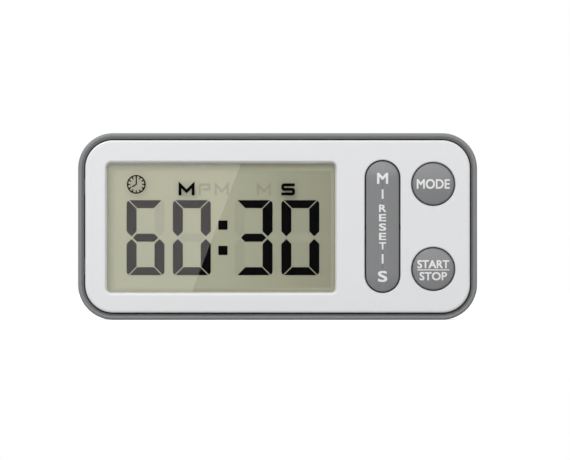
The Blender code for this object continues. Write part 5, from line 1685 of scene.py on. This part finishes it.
def studio():
    """Floor, soft light, the cards that the lens mirrors, and the camera."""
    settings = bpy.context.scene.timer_studio
    scene = bpy.context.scene
    low = CASE_LOW.z - 0.02 * MM
    edge = [(x, z, low) for x, z in circle(0.6, (0, 0))]
    floor = stage_plane("floor", edge, 1.0, (0.5, 0.5, 0.5))
    floor_tree = floor.data.materials[0].node_tree
    seen = add(floor_tree, "ShaderNodeLightPath").outputs["Is Camera Ray"]
    glow = maths(floor_tree, "MULTIPLY", seen, 0.75)
    floor_tree.links.new(glow, floor_tree.nodes["Principled BSDF"].inputs["Emission Strength"])
    world = bpy.data.worlds.new("studio")
    scene.world = world
    world.use_nodes = True
    tree = world.node_tree
    tree.nodes.clear()
    place = add(tree, "ShaderNodeTexCoord").outputs["Generated"]
    height = add(tree, "ShaderNodeSeparateXYZ", {0: place}).outputs["Z"]
    soft = ramped(tree, height, -0.3, 1.0, 0.53, 0.945)
    seen = add(tree, "ShaderNodeLightPath").outputs["Is Camera Ray"]
    power = add(tree, "ShaderNodeMix", {"Factor": seen, 2: soft, 3: 1.0}, data_type="FLOAT").outputs[0]
    sky = add(tree, "ShaderNodeBackground", {"Color": (1, 1, 1, 1), "Strength": power})
    output = add(tree, "ShaderNodeOutputWorld")
    tree.links.new(sky.outputs[0], output.inputs["Surface"])

    lamp = bpy.data.lights.new("overhead", "AREA")
    lamp.shape = "RECTANGLE"
    lamp.size, lamp.size_y = LAMP_SIZE
    lamp.energy = settings.key_power
    lamp_object = bpy.data.objects.new("overhead", lamp)
    scene.collection.objects.link(lamp_object)
    lamp_object.location = LAMP_PLACE
    aim = Vector((0, 0, MIDDLE_Z)) - lamp_object.location
    lamp_object.rotation_euler = aim.to_track_quat("-Z", "Y").to_euler()
    lamp_object.visible_camera = False

    eye = Vector((EYE_X, FACE_Y - settings.distance, EYE_Z))
    card_y = eye.y - 0.5

    def mirrored(x, z, y):
        """The place behind the camera that the lens shows at this place on its surface."""
        times = (settings.distance + FACE_Y - y) / settings.distance
        return (eye.x + (x - eye.x) * times, y, eye.z + (z - eye.z) * times)
    edge_high = (GLARE_TOP_X, MIDDLE_Z + GLARE_REACH)
    edge_low = (GLARE_BOTTOM_X, MIDDLE_Z - GLARE_REACH)
    slope = (edge_high[0] - edge_low[0]) / (edge_high[1] - edge_low[1])
    top = MIDDLE_Z + 26 * MM
    bottom = MIDDLE_Z - 26 * MM
    corners = [mirrored(edge_high[0] + slope * (top - edge_high[1]), top, card_y),
               mirrored(edge_low[0] + slope * (bottom - edge_low[1]), bottom, card_y),
               mirrored(-60 * MM, bottom, card_y), mirrored(-60 * MM, top, card_y)]
    bright = stage_plane("bright_card", corners, settings.glare, (0.9, 0.9, 0.9))
    bright_shader = bright.data.materials[0].node_tree.nodes["Principled BSDF"]
    bright_shader.inputs["Emission Color"].default_value = (1.0, 0.9, 0.86, 1)
    dark_y = card_y - 0.1
    corners = [mirrored(24 * MM, top, dark_y), mirrored(24 * MM, bottom, dark_y),
               mirrored(-60 * MM, bottom, dark_y), mirrored(-60 * MM, top, dark_y)]
    dark = stage_plane("dark_card", corners, 0.0, (0.01, 0.01, 0.01))
    sky_y = card_y - 0.3
    corners = [(-1.2, sky_y, 0.2), (-1.2, sky_y, 1.2), (1.2, sky_y, 1.2), (1.2, sky_y, 0.2)]
    upper = stage_plane("upper_card", corners, settings.upper_glow, (0.9, 0.9, 0.9))
    for card in (bright, dark, upper):
        card.visible_camera = False
        card.visible_diffuse = False
        card.visible_shadow = False

    camera = bpy.data.cameras.new("camera")
    camera.sensor_width = 36
    camera.lens = settings.lens * 1000
    camera.clip_start = 0.01
    camera.clip_end = 20
    view = bpy.data.objects.new("camera", camera)
    scene.collection.objects.link(view)
    view.location = eye
    view.rotation_euler = (math.pi / 2, 0, 0)
    scene.camera = view
    scene.view_settings.view_transform = "Standard"


# ---------------------------------------------------------------- add-on

class MakeShells(bpy.types.Operator):
    """Build the white face and the grey case"""

    bl_idname = "timer.make_shells"
    bl_label = "Shells"

    def execute(self, context):
        front_shell()
        rear_case()
        return {"FINISHED"}


class MakeDisplay(bpy.types.Operator):
    """Build the lens, the display panel and what it shows"""

    bl_idname = "timer.make_display"
    bl_label = "Display"

    def execute(self, context):
        lens()
        display()
        return {"FINISHED"}


class MakeKeys(bpy.types.Operator):
    """Build the round keys and the rocking key with their legends"""

    bl_idname = "timer.make_keys"
    bl_label = "Keys"

    def execute(self, context):
        keys()
        return {"FINISHED"}


class MakeStand(bpy.types.Operator):
    """Build the folding stand"""

    bl_idname = "timer.make_stand"
    bl_label = "Folding stand"

    def execute(self, context):
        kickstand()
        return {"FINISHED"}


class MakeBattery(bpy.types.Operator):
    """Build the cell, its spring and its door"""

    bl_idname = "timer.make_battery"
    bl_label = "Battery and door"

    def execute(self, context):
        battery_door()
        battery()
        return {"FINISHED"}


class MakeFixings(bpy.types.Operator):
    """Build the screws, the magnets and the buzzer disc"""

    bl_idname = "timer.make_fixings"
    bl_label = "Screws, magnets and buzzer"

    def execute(self, context):
        screws()
        magnets_and_buzzer()
        return {"FINISHED"}


class FinishInside(bpy.types.Operator):
    """Give the parts inside the case their finishes"""

    bl_idname = "timer.finish_inside"
    bl_label = "Inside parts"

    def execute(self, context):
        inside_parts()
        return {"FINISHED"}


class MakeStudio(bpy.types.Operator):
    """Build the floor, the light and the camera"""

    bl_idname = "timer.make_studio"
    bl_label = "Studio"

    def execute(self, context):
        studio()
        return {"FINISHED"}


OPERATORS = (MakeShells, MakeDisplay, MakeKeys, MakeStand, MakeBattery, MakeFixings, FinishInside, MakeStudio)
SETTINGS = {
    "timer_case": CaseSettings, "timer_display": DisplaySettings, "timer_keys": KeySettings,
    "timer_back": BackSettings, "timer_studio": StudioSettings,
}


class TimerPanel(bpy.types.Panel):
    """The timer's settings and makers"""

    bl_idname = "VIEW3D_PT_timer"
    bl_label = "Kitchen timer"
    bl_space_type = "VIEW_3D"
    bl_region_type = "UI"
    bl_category = "Kitchen timer"

    def draw(self, context):
        for name in SETTINGS:
            settings = getattr(context.scene, name)
            box = self.layout.box()
            for field in settings.bl_rna.properties:
                if field.identifier not in ("rna_type", "name"):
                    box.prop(settings, field.identifier)
        for operator in OPERATORS:
            self.layout.operator(operator.bl_idname)


def register():
    for settings in SETTINGS.values():
        bpy.utils.register_class(settings)
    for operator in OPERATORS:
        bpy.utils.register_class(operator)
    bpy.utils.register_class(TimerPanel)
    for name, settings in SETTINGS.items():
        setattr(bpy.types.Scene, name, bpy.props.PointerProperty(type=settings))


def unregister():
    for name in SETTINGS:
        delattr(bpy.types.Scene, name)
    bpy.utils.unregister_class(TimerPanel)
    for operator in reversed(OPERATORS):
        bpy.utils.unregister_class(operator)
    for settings in SETTINGS.values():
        bpy.utils.unregister_class(settings)


def main():
    register()
    bpy.ops.timer.make_shells()
    bpy.ops.timer.make_display()
    bpy.ops.timer.make_keys()
    bpy.ops.timer.make_stand()
    bpy.ops.timer.make_battery()
    bpy.ops.timer.make_fixings()
    bpy.ops.timer.finish_inside()
    bpy.ops.timer.make_studio()


if __name__ == "__main__":
    main()
